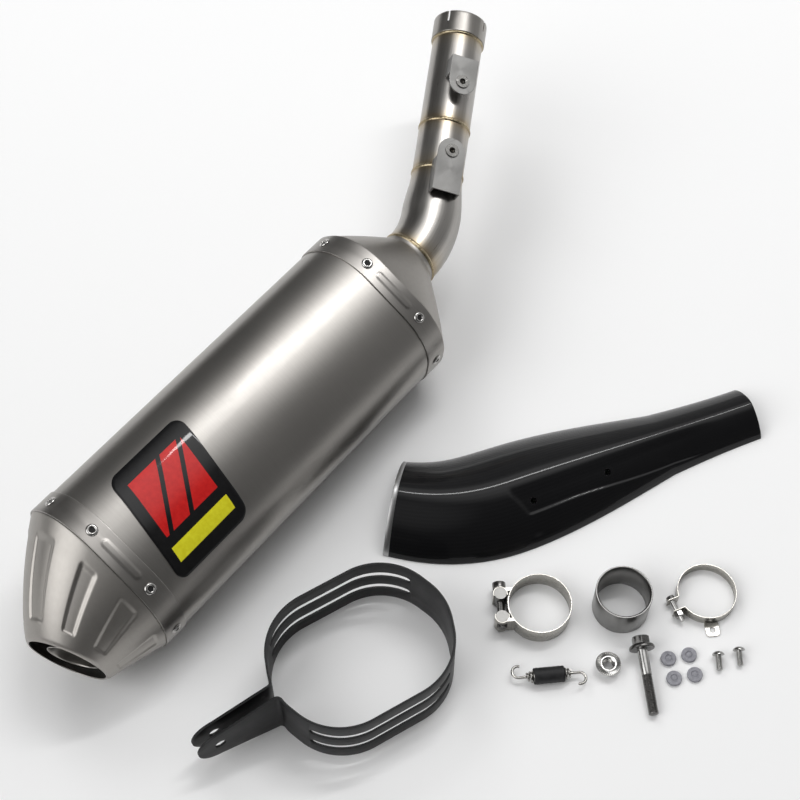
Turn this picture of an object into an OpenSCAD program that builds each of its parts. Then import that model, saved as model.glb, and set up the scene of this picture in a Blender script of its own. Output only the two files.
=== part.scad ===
// Exhaust kit laid out on a table: muffler with link pipe, heat shield, strap and fasteners.
// The muffler axis runs along Y, from the outlet to the inlet. The table top is z = 0.

/* [Muffler] */
// Distance from the muffler axis to each of the two long faces
face_reach = 54; // [50:0.5:58]
// Distance from the muffler axis to each of the four short faces
side_reach = 68.5; // [66:0.5:72]
// Turn from a long face to a short face, degrees
face_turn = 70; // [64:1:76]
// Radius of every corner of the muffler section
corner_r = 47; // [36:0.5:48]
// Thickness of the outer sleeve sheet
sleeve_wall = 1.2; // [0.8:0.1:2]
// Distance between the two rows of rivets
rivet_span = 306; // [240:1:360]
// Roll of the muffler about its own axis as it lies, degrees
muffler_roll = 26.2; // [20:0.1:40]
// Outer radius of the perforated core tube
core_r = 19.5; // [16:0.25:19.75]
// Wall of the core tube and the outlet tube
core_wall = 1.2; // [0.8:0.1:2]
// Radius of one perforation in the core tube
perforation_r = 2; // [1:0.25:3]
// Rings of perforations along the core tube
perforation_rings = 8; // [4:1:12]

/* [Caps and bands] */
// Width of each end band
band_w = 20; // [16:1:26]
// Thickness of each end band
band_t = 1; // [0.6:0.1:1.6]
// Wall of both caps
cap_wall = 1.6; // [1.2:0.1:2.4]
// Length of the outlet cap beyond the sleeve
outlet_cap_l = 70; // [55:1:80]
// Half width of the oval outlet
outlet_half_w = 31; // [29:0.5:36]
// Half height of the oval outlet
outlet_half_h = 29.5; // [27:0.5:36]
// Shift of the oval outlet across the long faces
outlet_shift = 26.5; // [0:0.5:28]
// Slant of the outlet plane, degrees
outlet_slant = 19; // [0:1:24]
// Depth of the hollow pressed into each face of the outlet cap
flute_depth = 2; // [0:0.25:3]
// Length of the inlet cap beyond the sleeve
inlet_cap_l = 49; // [36:1:60]
// Shift of the round inlet across the long faces
inlet_shift = -8; // [-12:0.5:4]
// Shaft radius of the blind rivets
rivet_r = 2.4; // [1.6:0.1:3]
// Distance of each rivet from the middle of a long face
rivet_offset = 29.5; // [22:0.5:32]
// Length of the rib pressed between two rivets
rib_l = 40; // [24:1:44]
// Length of the badge plate along the muffler
badge_l = 74; // [50:1:90]
// Width of the badge plate across the long face
badge_w = 90; // [60:1:96]
// Skew of the badge plate, along per across
badge_skew = -0.15; // [-0.2:0.01:0.2]
// Middle of the badge plate beyond the outlet rivets
badge_at = 64; // [55:1:200]
// Shift of the badge plate across the long face
badge_shift = -2; // [-8:0.5:6]

/* [Link pipe] */
// Outer radius of the link pipe
pipe_r = 22; // [20:0.25:24]
// Wall of the link pipe
pipe_wall = 1.2; // [1:0.1:2]
// Bend radius of the elbow
elbow_r = 79; // [60:1:100]
// Bend angle of the elbow, degrees
elbow_bend = 33; // [20:0.5:45]
// Turn of the elbow about the muffler that lifts the pipe, degrees
elbow_rise = 22; // [0:1:40]
// Outer radius of the elbow, which is wider than the pipe
neck_r = 25.4; // [24.5:0.1:27]
// Length of the tapered pipe between the elbow and the first seam
elbow_tail = 38; // [30:1:44]
// Length of the middle pipe
middle_l = 45; // [38:1:56]
// Length of the upper pipe
upper_l = 93; // [88:1:120]
// Length of the slotted collar
collar_l = 20; // [18:1:36]
// Length of pipe that sits inside the collar
collar_lap = 6; // [5:1:8]
// Wall of the slotted collar
collar_wall = 1.5; // [1:0.1:2.2]
// Slots in the collar
collar_slots = 4; // [2:1:6]
// Width of one collar slot
collar_slot_w = 2.5; // [1.5:0.25:4]

/* [Brackets] */
// Distance between the two threaded inserts that hold the heat shield
insert_pitch = 67; // [60:1:72]
// Distance of the first insert beyond the elbow
insert_at = 48; // [44:1:52]
// Roll of both brackets about the pipe, degrees
bracket_roll = 2; // [-20:1:20]
// Width of each bracket
bracket_w = 24; // [20:1:30]
// Length of the lower bracket along the pipe
bracket_l = 50; // [40:1:54]
// Length of the upper bracket along the pipe
upper_bracket_l = 36; // [32:1:42]
// Height of each bracket plate above the pipe
bracket_h = 9; // [8:0.5:12]
// Thickness of the bracket sheet
bracket_t = 1.5; // [1:0.1:2]
// Shaft radius of the heat shield screws
screw_r = 2.45; // [1.95:0.05:3]

/* [Heat shield] */
// Length of the heat shield along its middle
shield_l = 313; // [270:1:340]
// Turn of the heat shield along its length, degrees
shield_bend = 35; // [0:1:40]
// Half width of the heat shield at its wide end
shield_half_w = 43; // [36:0.5:48]
// Extra half width of the heat shield at its middle
shield_bulge = 7; // [0:0.5:12]
// Half width of the heat shield at its narrow end
shield_tip_w = 25; // [20:0.5:34]
// Height of the heat shield at its wide end
shield_h = 34; // [24:0.5:42]
// Height of the heat shield at its narrow end
shield_tip_h = 20; // [14:0.5:30]
// Thickness of the heat shield
shield_t = 1.8; // [1.2:0.1:2.6]
// Depth of the panel sunk into the near side
panel_depth = 1.6; // [0:0.1:2.4]
// Distance of the first screw hole from the wide end
shield_hole_at = 106; // [80:1:120]
// Angle of the screw holes down the near side, degrees
shield_hole_roll = 26; // [15:1:35]

/* [Mounting strap] */
// Width of the strap
strap_w = 56; // [40:1:60]
// Thickness of the strap
strap_t = 1.8; // [1.4:0.1:2.4]
// Room between the strap and the muffler sleeve
strap_room = 0.6; // [0.3:0.1:2]
// Gap between the two ears
ear_gap = 8.4; // [6:0.2:12]
// Distance from the strap's centre to the ear hole
ear_reach = 121; // [105:1:130]
// Radius of the rounded ear end
ear_tip_r = 18; // [14:0.5:22]
// Height of one strap slot
slot_w = 8; // [5:0.5:10]
// Length of one strap slot
slot_l = 100; // [60:1:104]
// Middle of the strap slots along the long faces
slot_at = 2; // [-4:0.5:6]
// Shift of the slots of one long face against the other, half of it each way
slot_stagger = 10; // [0:0.5:12]

/* [Clamps and sleeve] */
// Width of the bolt clamp
clamp_w = 17; // [14:0.5:22]
// Thickness of the bolt clamp's steel
clamp_t = 0.9; // [0.7:0.1:1.2]
// Radius of the clamp's two barrels
barrel_r = 4.8; // [4.5:0.1:5.5]
// Distance between the two barrels
barrel_pitch = 19; // [17:0.5:24]
// Shaft radius of the clamp bolt
clamp_bolt_r = 3; // [2.5:0.1:3.2]
// Height of the reducer sleeve
reducer_h = 29; // [22:1:34]
// Wall of the reducer sleeve
reducer_wall = 2; // [1.2:0.1:3]
// Width of the tab clamp
tab_clamp_w = 10; // [9:0.5:12]
// Thickness of the tab clamp's steel
tab_clamp_t = 0.8; // [0.6:0.1:1.2]
// Gap between the tab clamp's ears
tab_gap = 9; // [6:0.5:12]
// Shaft radius of the tab clamp's screw
tab_screw_r = 2; // [1.5:0.1:2.4]

/* [Spring] */
// Outer radius of the rubber sleeve on the spring
rubber_r = 6.3; // [6:0.1:7]
// Length of the rubber sleeve on the spring
rubber_l = 23.5; // [18:0.5:26]
// Length of the wound part of the spring
coil_l = 34; // [30:0.5:38]
// Middle radius of the spring's turns
coil_r = 4; // [3.6:0.1:4.2]
// Radius of the spring wire
wire_r = 0.8; // [0.6:0.05:0.9]
// Turns of the spring
coil_turns = 14; // [10:1:14]
// Radius of the hook's bend
hook_bend_r = 4.6; // [4:0.1:5.5]

/* [Fasteners] */
// Shaft radius of the strap bolt
bolt_r = 4; // [3:0.1:4.5]
// Length of the strap bolt's shaft
bolt_l = 51; // [40:1:60]
// Length of the strap bolt's plain part
bolt_plain_l = 20; // [12:1:28]
// Flange radius of the strap bolt and the nut
flange_r = 9.8; // [9:0.1:11]
// Radius of each damping washer
washer_r = 5.9; // [5:0.1:7]
// Length of each heat shield screw's shaft
screw_l = 12; // [8:1:16]

/* [Layout] */
// Middle of the outlet rivets on the table
muffler_pos = [-134.38, -249.61]; // [-400:0.1:400]
// Middle of the heat shield's wide end on the table
shield_pos = [-23.88, -48.11]; // [-400:0.1:400]
// Direction of the heat shield's wide end, degrees
shield_dir = 26; // [0:1:90]
// Centre of the strap on the table
strap_pos = [47.32, -172.41]; // [-400:0.1:400]
// Turn of the strap on the table, degrees
strap_dir = 70; // [0:0.1:180]
// Centre of the bolt clamp on the table
clamp_pos = [121.3, -46.58]; // [-400:0.1:400]
// Turn of the bolt clamp on the table, degrees
clamp_dir = 222; // [0:1:360]
// Centre of the reducer sleeve on the table
reducer_pos = [168.2, -2.78]; // [-400:0.1:400]
// Centre of the tab clamp on the table
tab_pos = [214.1, 47.42]; // [-400:0.1:400]
// Turn of the tab clamp on the table, degrees
tab_dir = 243; // [0:1:360]
// Centre of the spring on the table
spring_pos = [160.1, -85.58]; // [-400:0.1:400]
// Turn of the spring on the table, degrees
spring_dir = 45; // [0:1:180]
// Centre of the nut on the table
nut_pos = [189.8, -49.88]; // [-400:0.1:400]
// Flange of the strap bolt on the table
bolt_pos = [201.8, -23.58]; // [-400:0.1:400]
// Direction of the strap bolt, degrees
bolt_dir = -44; // [-90:1:90]
// Middle of the four damping washers on the table
washers_pos = [233.4, -13.78]; // [-400:0.1:400]
// Distance between neighbouring damping washers
washers_pitch = 16.3; // [14:0.1:20]
// Head of the first heat shield screw on the table
screws_pos = [249.9, 10.72]; // [-400:0.1:400]
// Step from the first heat shield screw to the second
screws_step = [10.2, 13.2]; // [-40:0.1:40]
// Direction of both heat shield screws, degrees
screws_dir = -49; // [-90:1:90]

/* [Fits] */
// Room between two sheets that lie on each other
lap_gap = 0.1; // [0.05:0.05:0.2]
// Room between a shaft and its running hole
run_gap = 0.08; // [0.02:0.01:0.1]
// Room between a clamp or sleeve and the pipe it goes on
slip_gap = 0.4; // [0.2:0.1:0.8]

/* [Hidden] */
$fn = 64;
eps = 0.05;
arc_n = 5;
flat_n = 3;
face_a = [-90, face_turn - 90, 90 - face_turn, 90, 90 + face_turn, 270 - face_turn];
face_d = [face_reach, side_reach, side_reach, face_reach, side_reach, side_reach];
seam_out = -band_w / 2;
seam_in = rivet_span + band_w / 2;
neck_at = seam_in + inlet_cap_l;
band_off = lap_gap + band_t;
skirt_off = -(sleeve_wall + lap_gap);
flat_half = corner_at(2)[0];
rivet_turn = asin(max(0, rivet_offset - flat_half) / corner_r);
rivet_head_h = 1.3;
rivet_lean = abs(muffler_roll - rivet_turn);
rivet_low = (corner_r + band_off + lap_gap + rivet_head_h) * cos(rivet_lean)
  + (rivet_r + rivet_head_h) * sin(rivet_lean);
axis_h = max(concat([-lowered(corner_at(0)) + rivet_low],
  [for (i = [0:5]) -lowered(corner_at(i)) + corner_r + band_off]));
neck_h = axis_h - inlet_shift * sin(muffler_roll);
collar_r = pipe_r + lap_gap + collar_wall;
socket_r = pipe_r + 6 * lap_gap;
screw_hole_r = screw_r + 0.3;
insert_r = screw_r + 2;
clamp_in_r = collar_r + slip_gap;
clamp_out_r = clamp_in_r + clamp_t;
tab_in_r = pipe_r + slip_gap;
tab_out_r = tab_in_r + tab_clamp_t;
barrel_x = clamp_out_r + barrel_r + lap_gap;
clamp_gap = barrel_pitch - barrel_r * 0.8;
coil_end_r = wire_r + 1.7;
rubber_in_r = coil_r + wire_r + slip_gap;
hook_r = 0.9;
bolt_thread_r = bolt_r - 0.35;
bolt_tilt = atan((flange_r - bolt_r + 0.12) / (bolt_l - 1.25));
screw_head_r = screw_r + 2.3;
screw_tilt = atan((screw_head_r - screw_r) / (screw_l - 0.3));
shield_n = 16;
shield_m = 16;
strap_off = strap_room + strap_t;
strap_side_x = -(norm(corner_at(4)) + corner_r + strap_room + strap_t / 3);

// Muffler section, counter-clockwise, in a plane across the axis

function turn_at(i) = (face_a[(i + 1) % 6] - face_a[i] + 360) % 360;

function corner_at(i) =
  let (a = face_a[i], b = face_a[(i + 1) % 6], d = face_d[i] - corner_r,
    e = face_d[(i + 1) % 6] - corner_r)
  [d * sin(b) - e * sin(a), e * cos(a) - d * cos(b)] / sin(b - a);

function lowered(p) = p[1] * cos(muffler_roll) - p[0] * sin(muffler_roll);

function unit(a) = [cos(a), sin(a)];

function arc_pts(i, off) =
  [for (k = [0:arc_n]) corner_at(i) + (corner_r + off) * unit(face_a[i] + turn_at(i) * k / arc_n)];

function section(off = 0) = [for (i = [0:5]) each arc_pts(i, off)];

function flat_pts(i, off, sink) =
  let (j = (i + 1) % 6, n = unit(face_a[j]),
    p = corner_at(i) + (corner_r + off) * n, q = corner_at(j) + (corner_r + off) * n)
  [for (k = [1:flat_n])
    p + (q - p) * k / (flat_n + 1) - n * sink * sqrt(sin(180 * k / (flat_n + 1)))];

function loop_pts(off, sink) =
  [for (i = [0:5]) each concat(arc_pts(i, off), flat_pts(i, off, sink))];

function oval_pt(p, w, h) = let (a = atan2(p[1] / h, p[0] / w)) [w * cos(a), h * sin(a)];

// Closed ring body through a list of loops with the same number of points

module ring_loft(loops) {
  n = len(loops[0]);
  m = len(loops);
  polyhedron(
    points = [for (l = loops) each l],
    faces = [for (j = [0:m - 1], i = [0:n - 1])
      let (a = j * n + i, b = j * n + (i + 1) % n, c = (j + 1) % m * n + i,
        d = (j + 1) % m * n + (i + 1) % n)
      each [[a, c, b], [b, c, d]]]);
}

module on_muffler() {
  translate([muffler_pos[0], muffler_pos[1], axis_h])
    rotate([0, muffler_roll, 0])
      children();
}

module along(t0, t1) {
  translate([0, t1, 0])
    rotate([90, 0, 0])
      linear_extrude(t1 - t0)
        children();
}

module sheet_ring(t0, t1, outer, inner) {
  difference() {
    along(t0, t1) polygon(section(outer));
    along(t0 - 1, t1 + 1) polygon(section(inner));
  }
}

module tube(r, wall, l) {
  rotate([-90, 0, 0])
    difference() {
      cylinder(h = l, r = r);
      translate([0, 0, -1])
        cylinder(h = l + 2, r = r - wall);
    }
}

function obround(l, r) =
  [for (s = [1, -1], k = [0:8]) [s * (l / 2 - r), 0] + r * unit(22.5 * k - 90 * s)];

function rounded_box(w, h, r) =
  [for (i = [0:3], k = [0:6])
    let (sx = [1, -1, -1, 1][i], sy = [1, 1, -1, -1][i])
    [sx * (w / 2 - r), sy * (h / 2 - r)] + r * unit(90 * i + 15 * k)];

// Rivets of one band: two on each long face and one on each short face
module at_rivets(t) {
  for (f = [0, 3], s = [-1, 1])
    translate([0, t, 0])
      rotate([0, -face_a[f], 0])
        translate([face_reach - corner_r, 0, s * min(flat_half, rivet_offset)])
          rotate([0, -s * rivet_turn, 0])
            translate([corner_r, 0, 0])
              children();
  for (f = [1, 2, 4, 5])
    translate([0, t, 0]) rotate([0, -face_a[f], 0]) translate([face_d[f], 0, 0]) children();
}

module rivet_holes(t) {
  at_rivets(t)
    rotate([0, 90, 0])
      translate([0, 0, -8])
        cylinder(h = 16, r = rivet_r + lap_gap);
}

module rivets(t) {
  at_rivets(t)
    rotate([0, 90, 0])
      difference() {
        union() {
          translate([0, 0, -4.5])
            cylinder(h = 4.5 + band_off + lap_gap, r = rivet_r);
          translate([0, 0, band_off + lap_gap])
            cylinder(h = rivet_head_h, r1 = rivet_r + 2, r2 = rivet_r + 1.3);
        }
        translate([0, 0, -1])
          cylinder(h = 8, r = 1.3);
      }
}

module end_band(t) {
  difference() {
    union() {
      sheet_ring(t - band_w / 2, t + band_w / 2, band_off, lap_gap);
      for (f = [0, 3])
        translate([0, t, 0])
          rotate([0, -face_a[f], 0])
            translate([face_d[f] + lap_gap + band_t / 2, 0, 0])
              rotate([90, 0, 90])
                linear_extrude(band_t / 2 + 0.8)
                  rotate([0, 0, 90])
                    polygon(obround(rib_l, 4));
    }
    rivet_holes(t);
  }
}

// Outlet cap: from the muffler section at the seam to a slanted oval lip

function outlet_loop(v, inset, sink) =
  let (m = v, loop = loop_pts(-inset, sink), w = outlet_half_w - inset,
    h = outlet_half_h - inset)
  [for (p = loop)
    let (o = oval_pt(p, w, h) + [outlet_shift, 0], q = p * (1 - m) + o * m)
    [q[0], seam_out - outlet_cap_l * v + q[0] * tan(outlet_slant) * v, q[1]]];

function flat_loop(off, t) = [for (p = loop_pts(off, 0)) [p[0], t, p[1]]];

outlet_v = [0, 0.12, 0.25, 0.5, 0.75, 0.9];

outlet_loops = concat(
  [for (v = outlet_v) outlet_loop(v, 0, flute_depth * max(0, sin(180 * (v - 0.05) / 0.9)))],
  [outlet_loop(0.97, 0.3, 0), outlet_loop(1, 1.4, 0), outlet_loop(1, cap_wall + 1.4, 0)],
  [for (k = [1:len(outlet_v) - 1])
    let (v = outlet_v[len(outlet_v) - k])
    outlet_loop(v, cap_wall, flute_depth * max(0, sin(180 * (v - 0.05) / 0.9)))],
  [flat_loop(skirt_off - cap_wall, seam_out), flat_loop(skirt_off - cap_wall, seam_out + band_w),
    flat_loop(skirt_off, seam_out + band_w), flat_loop(skirt_off, seam_out)]);

// Inlet cap: from the muffler section to a round neck

function inlet_loop(v, inset) =
  let (m = pow(min(v, 0.9) / 0.9, 1.1), loop = loop_pts(-inset, 0), r = neck_r - inset)
  [for (p = loop)
    let (q = p * (1 - m) + (oval_pt(p, r, r) + [inlet_shift, 0]) * m)
    [q[0], seam_in + inlet_cap_l * v, q[1]]];

inlet_v = [0, 0.1, 0.3, 0.55, 0.8, 0.9];

inlet_loops = concat(
  [for (v = inlet_v) inlet_loop(v, 0)],
  [inlet_loop(1, 0), inlet_loop(1, pipe_wall)],
  [for (k = [1:len(inlet_v) - 1])
    let (v = inlet_v[len(inlet_v) - k])
    inlet_loop(v, v > 0.85 ? pipe_wall : cap_wall)],
  [flat_loop(skirt_off - cap_wall, seam_in), flat_loop(skirt_off - cap_wall, seam_in - band_w),
    flat_loop(skirt_off, seam_in - band_w), flat_loop(skirt_off, seam_in)]);

module outer_sleeve() {
  color([0.56, 0.54, 0.52])
    on_muffler()
      difference() {
        sheet_ring(seam_out + eps, seam_in - eps, 0, -sleeve_wall);
        rivet_holes(0);
        rivet_holes(rivet_span);
      }
}

module inlet_cap() {
  color([0.55, 0.53, 0.51])
    on_muffler()
      difference() {
        ring_loft([for (k = [1:len(inlet_loops)]) inlet_loops[len(inlet_loops) - k]]);
        rivet_holes(rivet_span);
      }
}

module outlet_cap() {
  color([0.58, 0.56, 0.54])
    on_muffler()
      difference() {
        ring_loft(outlet_loops);
        rivet_holes(0);
      }
}

core_tilt = asin((outlet_shift - inlet_shift) / (neck_at - seam_out + outlet_cap_l / 2));

module on_core() {
  on_muffler()
    translate([inlet_shift, neck_at, 0])
      rotate([0, 0, core_tilt])
        children();
}

baffle_t0 = seam_out + band_w + eps;
baffle_t = 2;

module outlet_baffle() {
  color([0.5, 0.49, 0.48])
    difference() {
      on_muffler()
        along(baffle_t0, baffle_t0 + baffle_t) polygon(section(skirt_off - 0.2));
      on_core()
        along(-neck_at - 50, -50) circle(r = core_r + lap_gap);
    }
}

core_split = (neck_at - baffle_t0 - baffle_t / 2) / cos(core_tilt);
outlet_tube_l = outlet_cap_l + band_w - 14;

module outlet_tube() {
  color([0.42, 0.41, 0.4])
    on_core()
      translate([0, -core_split - outlet_tube_l, 0])
        tube(core_r, core_wall, outlet_tube_l);
}

core_l = core_split - 3;

module core_tube() {
  color([0.45, 0.44, 0.43])
    on_core()
      translate([0, -core_split + eps, 0])
        difference() {
          tube(core_r, core_wall + 0.6, core_l);
          for (k = [1:perforation_rings], a = [0, 60, 120])
            translate([0, core_l * 0.8 * k / (perforation_rings + 1), 0])
              rotate([0, a + 30 * (k % 2), 0])
                translate([0, 0, -core_r - 2])
                  cylinder(h = 2 * core_r + 4, r = perforation_r, $fn = 16);
        }
}

module packing() {
  color([0.82, 0.8, 0.72])
    difference() {
      on_muffler()
        along(baffle_t0 + baffle_t + eps, seam_in - band_w - eps) polygon(section(skirt_off - 0.2));
      on_core()
        along(-neck_at - 50, 0) circle(r = core_r + 0.3);
    }
}

module inlet_band() {
  color([0.52, 0.5, 0.48])
    on_muffler()
      end_band(rivet_span);
}

module outlet_band() {
  color([0.52, 0.5, 0.48])
    on_muffler()
      end_band(0);
}

module inlet_rivets() {
  color([0.8, 0.8, 0.8])
    on_muffler()
      rivets(rivet_span);
}

module outlet_rivets() {
  color([0.8, 0.8, 0.8])
    on_muffler()
      rivets(0);
}

module badge_plate() {
  color([0.03, 0.03, 0.03])
    on_muffler()
      intersection() {
        sheet_ring(badge_at - badge_l, badge_at + badge_l, lap_gap + 0.8, lap_gap);
        translate([badge_shift, badge_at, 10])
          linear_extrude(80)
            polygon([for (q = rounded_box(badge_w, badge_l, 9)) [q[0], q[1] + badge_skew * q[0]]]);
      }
}

// Link pipe: each place is reached from the muffler's neck along the pipe

module at_neck() {
  translate([muffler_pos[0] + inlet_shift * cos(muffler_roll), muffler_pos[1] + neck_at + eps, neck_h])
    rotate([0, elbow_rise, 0])
      children();
}

module at_pipe(l) {
  at_neck()
    translate([-elbow_r, 0, 0])
      rotate([0, 0, elbow_bend])
        translate([elbow_r, l, 0])
          children();
}

module weld_bead(r) {
  rotate([-90, 0, 0])
    rotate_extrude()
      polygon([[r + lap_gap, -2.2], [r + 0.9, -1.4], [r + 1.2, 0], [r + 0.9, 1.4], [r + lap_gap, 2.2]]);
}

module pipe_elbow() {
  color([0.6, 0.57, 0.53])
    at_neck()
      translate([-elbow_r, 0, 0])
        rotate_extrude(angle = elbow_bend)
          translate([elbow_r, 0])
            difference() {
              circle(r = neck_r);
              circle(r = neck_r - pipe_wall);
            }
}

lower_l = elbow_tail - 2 * eps;
taper_l = elbow_tail - 3;

module pipe_lower() {
  color([0.6, 0.57, 0.53])
    at_pipe(eps)
      rotate([-90, 0, 0])
        rotate_extrude()
          polygon([[neck_r - pipe_wall, 0], [neck_r, 0], [pipe_r, taper_l], [pipe_r, lower_l],
            [pipe_r - pipe_wall, lower_l], [pipe_r - pipe_wall, taper_l]]);
}

module pipe_middle() {
  color([0.6, 0.57, 0.53])
    at_pipe(elbow_tail)
      tube(pipe_r, pipe_wall, middle_l - eps);
}

module pipe_upper() {
  color([0.6, 0.57, 0.53])
    at_pipe(elbow_tail + middle_l)
      tube(pipe_r, pipe_wall, upper_l);
}

collar_at = elbow_tail + middle_l + upper_l - collar_lap;

module pipe_collar() {
  color([0.63, 0.61, 0.58])
    at_pipe(collar_at)
      difference() {
        tube(collar_r, collar_wall, collar_l);
        translate([0, collar_lap, 0])
          rotate([-90, 0, 0])
            cylinder(h = collar_l, r = socket_r);
        for (k = [0:collar_slots - 1])
          rotate([0, 360 * (k + 0.5) / collar_slots, 0])
            translate([-collar_slot_w / 2, collar_lap + 4, 0])
              cube([collar_slot_w, collar_l, collar_r + 5]);
      }
}

module cap_weld() {
  color([0.66, 0.55, 0.36])
    at_neck()
      weld_bead(neck_r);
}

module lower_weld() {
  color([0.66, 0.55, 0.36])
    at_pipe(elbow_tail)
      weld_bead(pipe_r);
}

module middle_weld() {
  color([0.66, 0.55, 0.36])
    at_pipe(elbow_tail + middle_l)
      weld_bead(pipe_r);
}

module collar_weld() {
  color([0.66, 0.55, 0.36])
    at_pipe(collar_at - eps)
      rotate([-90, 0, 0])
        rotate_extrude()
          polygon([[pipe_r + lap_gap, -2.4], [pipe_r + 1.3, -1.2], [collar_r, 0], [pipe_r + lap_gap, 0]]);
}

// Bracket: a channel whose two walls stand on the pipe, with the insert near one end
module bracket(at, turn, l) {
  tip_r = bracket_w / 2 - 0.3;
  at_pipe(at)
    rotate([0, bracket_roll, 0])
      difference() {
        rotate([0, 0, turn])
          difference() {
            union() {
              translate([-bracket_w / 2, 0, 0])
                cube([bracket_w, l - tip_r, pipe_r + bracket_h + bracket_t]);
              translate([0, 0, pipe_r + bracket_h])
                cylinder(h = bracket_t, r = tip_r);
            }
            translate([-bracket_w / 2 + bracket_t, -1, -1])
              cube([bracket_w - 2 * bracket_t, l, pipe_r + bracket_h + 1]);
            translate([-bracket_w, -1, -1])
              cube([2 * bracket_w, 8, pipe_r + bracket_h + 1]);
          }
        rotate([0, -bracket_roll, 0])
          translate([0, -at, 0])
            rotate([-90, 0, 0])
              cylinder(h = taper_l, r1 = neck_r + lap_gap, r2 = pipe_r + lap_gap);
        translate([0, taper_l - at - 0.1, 0])
          rotate([-90, 0, 0])
            cylinder(h = middle_l + upper_l, r = pipe_r + lap_gap);
        for (seam = [elbow_tail, elbow_tail + middle_l])
          translate([0, seam - at - 3, 0])
            rotate([-90, 0, 0])
              cylinder(h = 6, r = pipe_r + 1.6);
        cylinder(h = 60, r = insert_r + lap_gap);
      }
}

module insert(at) {
  at_pipe(at)
    rotate([0, bracket_roll, 0])
      translate([0, 0, pipe_r + bracket_h + bracket_t])
        difference() {
          union() {
            translate([0, 0, -bracket_t - 6])
              cylinder(h = bracket_t + 6 + lap_gap, r = insert_r);
            translate([0, 0, lap_gap])
              cylinder(h = 1, r = insert_r + 1.6);
          }
          translate([0, 0, -20])
            cylinder(h = 40, r = screw_r + run_gap);
        }
}

module lower_bracket() {
  color([0.57, 0.56, 0.54])
    bracket(insert_at, 180, bracket_l);
}

module upper_bracket() {
  color([0.57, 0.56, 0.54])
    bracket(insert_at + insert_pitch, 0, upper_bracket_l);
}

module lower_insert() {
  color([0.72, 0.71, 0.69])
    insert(insert_at);
}

module upper_insert() {
  color([0.72, 0.71, 0.69])
    insert(insert_at + insert_pitch);
}

// Heat shield: an arch that bends and narrows along its length

function ease(x) = let (c = max(0, min(1, x))) c * c * (3 - 2 * c);

function shield_heading(u) = shield_dir + shield_bend * ease((u + 0.06) / 0.4);

function total(list) = list * [for (v = list) 1];

function shield_mid(u, n = 40) =
  let (a = [for (k = [0:n - 1]) shield_heading(u * (k + 0.5) / n)])
  shield_pos + [total([for (v = a) cos(v)]), total([for (v = a) sin(v)])] * shield_l * u / n;

function shield_width(u) =
  shield_half_w + shield_bulge * sin(180 * min(1, u * 1.35))
  + (shield_tip_w - shield_half_w) * ease((u - 0.2) / 0.8);

function shield_top(u) = shield_h + (shield_tip_h - shield_h) * ease((u - 0.3) / 0.7);

function panel_sink(u, a) =
  panel_depth * ease((u - 0.36) / 0.08) * ease((0.95 - u) / 0.05) * ease((a - 18) / 8)
  * ease((66 - a) / 8);

function shield_pt(u, a, inset) =
  let (w = shield_width(u) - inset, h = shield_top(u) - inset, d = shield_heading(u),
    sink = panel_sink(u, a), across = (w - sink * sin(abs(a))) * sin(a),
    up = (h - sink) * pow(max(0, 1 - pow(abs(sin(a)), 1.45)), 0.69), c = shield_mid(u))
  [c[0] + across * sin(d), c[1] - across * cos(d), abs(a) > 89.9 ? 0 : up];

function shield_loop(u) =
  concat([for (k = [0:shield_m]) shield_pt(u, -90 + 180 * k / shield_m, 0)],
    [for (k = [0:shield_m]) shield_pt(u, 90 - 180 * k / shield_m, shield_t)]);

function shield_normal(u, a) =
  let (p = shield_pt(u, a, 0), q = shield_pt(u, a + 2, 0) - shield_pt(u, a - 2, 0),
    r = shield_pt(u + 0.01, a, 0) - shield_pt(u - 0.01, a, 0), n = cross(r, q))
  -n / norm(n);

module drill(u) {
  p = shield_pt(u, shield_hole_roll, 0);
  n = shield_normal(u, shield_hole_roll);
  translate(p)
    rotate([0, acos(n[2]), atan2(n[1], n[0])])
      translate([0, 0, -8])
        cylinder(h = 16, r = screw_hole_r, $fn = 32);
}

module heat_shield() {
  loops = [for (i = [0:shield_n]) shield_loop(i / shield_n)];
  n = len(loops[0]);
  h = shield_m + 1;
  last = shield_n * n;
  color([0.05, 0.05, 0.055])
    difference() {
      polyhedron(
        points = [for (l = loops) each l],
        faces = concat(
          [for (j = [0:shield_n - 1], i = [0:n - 1])
            let (a = j * n + i, b = j * n + (i + 1) % n, c = a + n, d = b + n)
            each [[a, b, c], [b, d, c]]],
          [for (i = [0:h - 2]) each [[i, n - 1 - i, i + 1], [i + 1, n - 1 - i, n - 2 - i]]],
          [for (i = [0:h - 2])
            each [[last + i, last + i + 1, last + n - 1 - i],
              [last + i + 1, last + n - 2 - i, last + n - 1 - i]]]));
      drill(shield_hole_at / shield_l);
      drill((shield_hole_at + insert_pitch) / shield_l);
    }
}

// Mounting strap: the muffler section as a band with two ears

module on_table(pos, dir) {
  translate([pos[0], pos[1], 0])
    rotate([0, 0, dir])
      children();
}

module ear(y) {
  translate([0, y + strap_t, 0])
    rotate([90, 0, 0])
      linear_extrude(strap_t)
        difference() {
          polygon(concat([[strap_side_x, strap_w], [-ear_reach - 2, strap_w / 2 + ear_tip_r]],
            [for (a = [100:10:260]) [-ear_reach, strap_w / 2] + ear_tip_r * unit(a)],
            [[-ear_reach - 2, strap_w / 2 - ear_tip_r], [strap_side_x, 0]]));
          translate([-ear_reach, strap_w / 2])
            circle(r = bolt_r + slip_gap);
        }
}

pin_at = [strap_side_x - 9, strap_w - 13];

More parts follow.
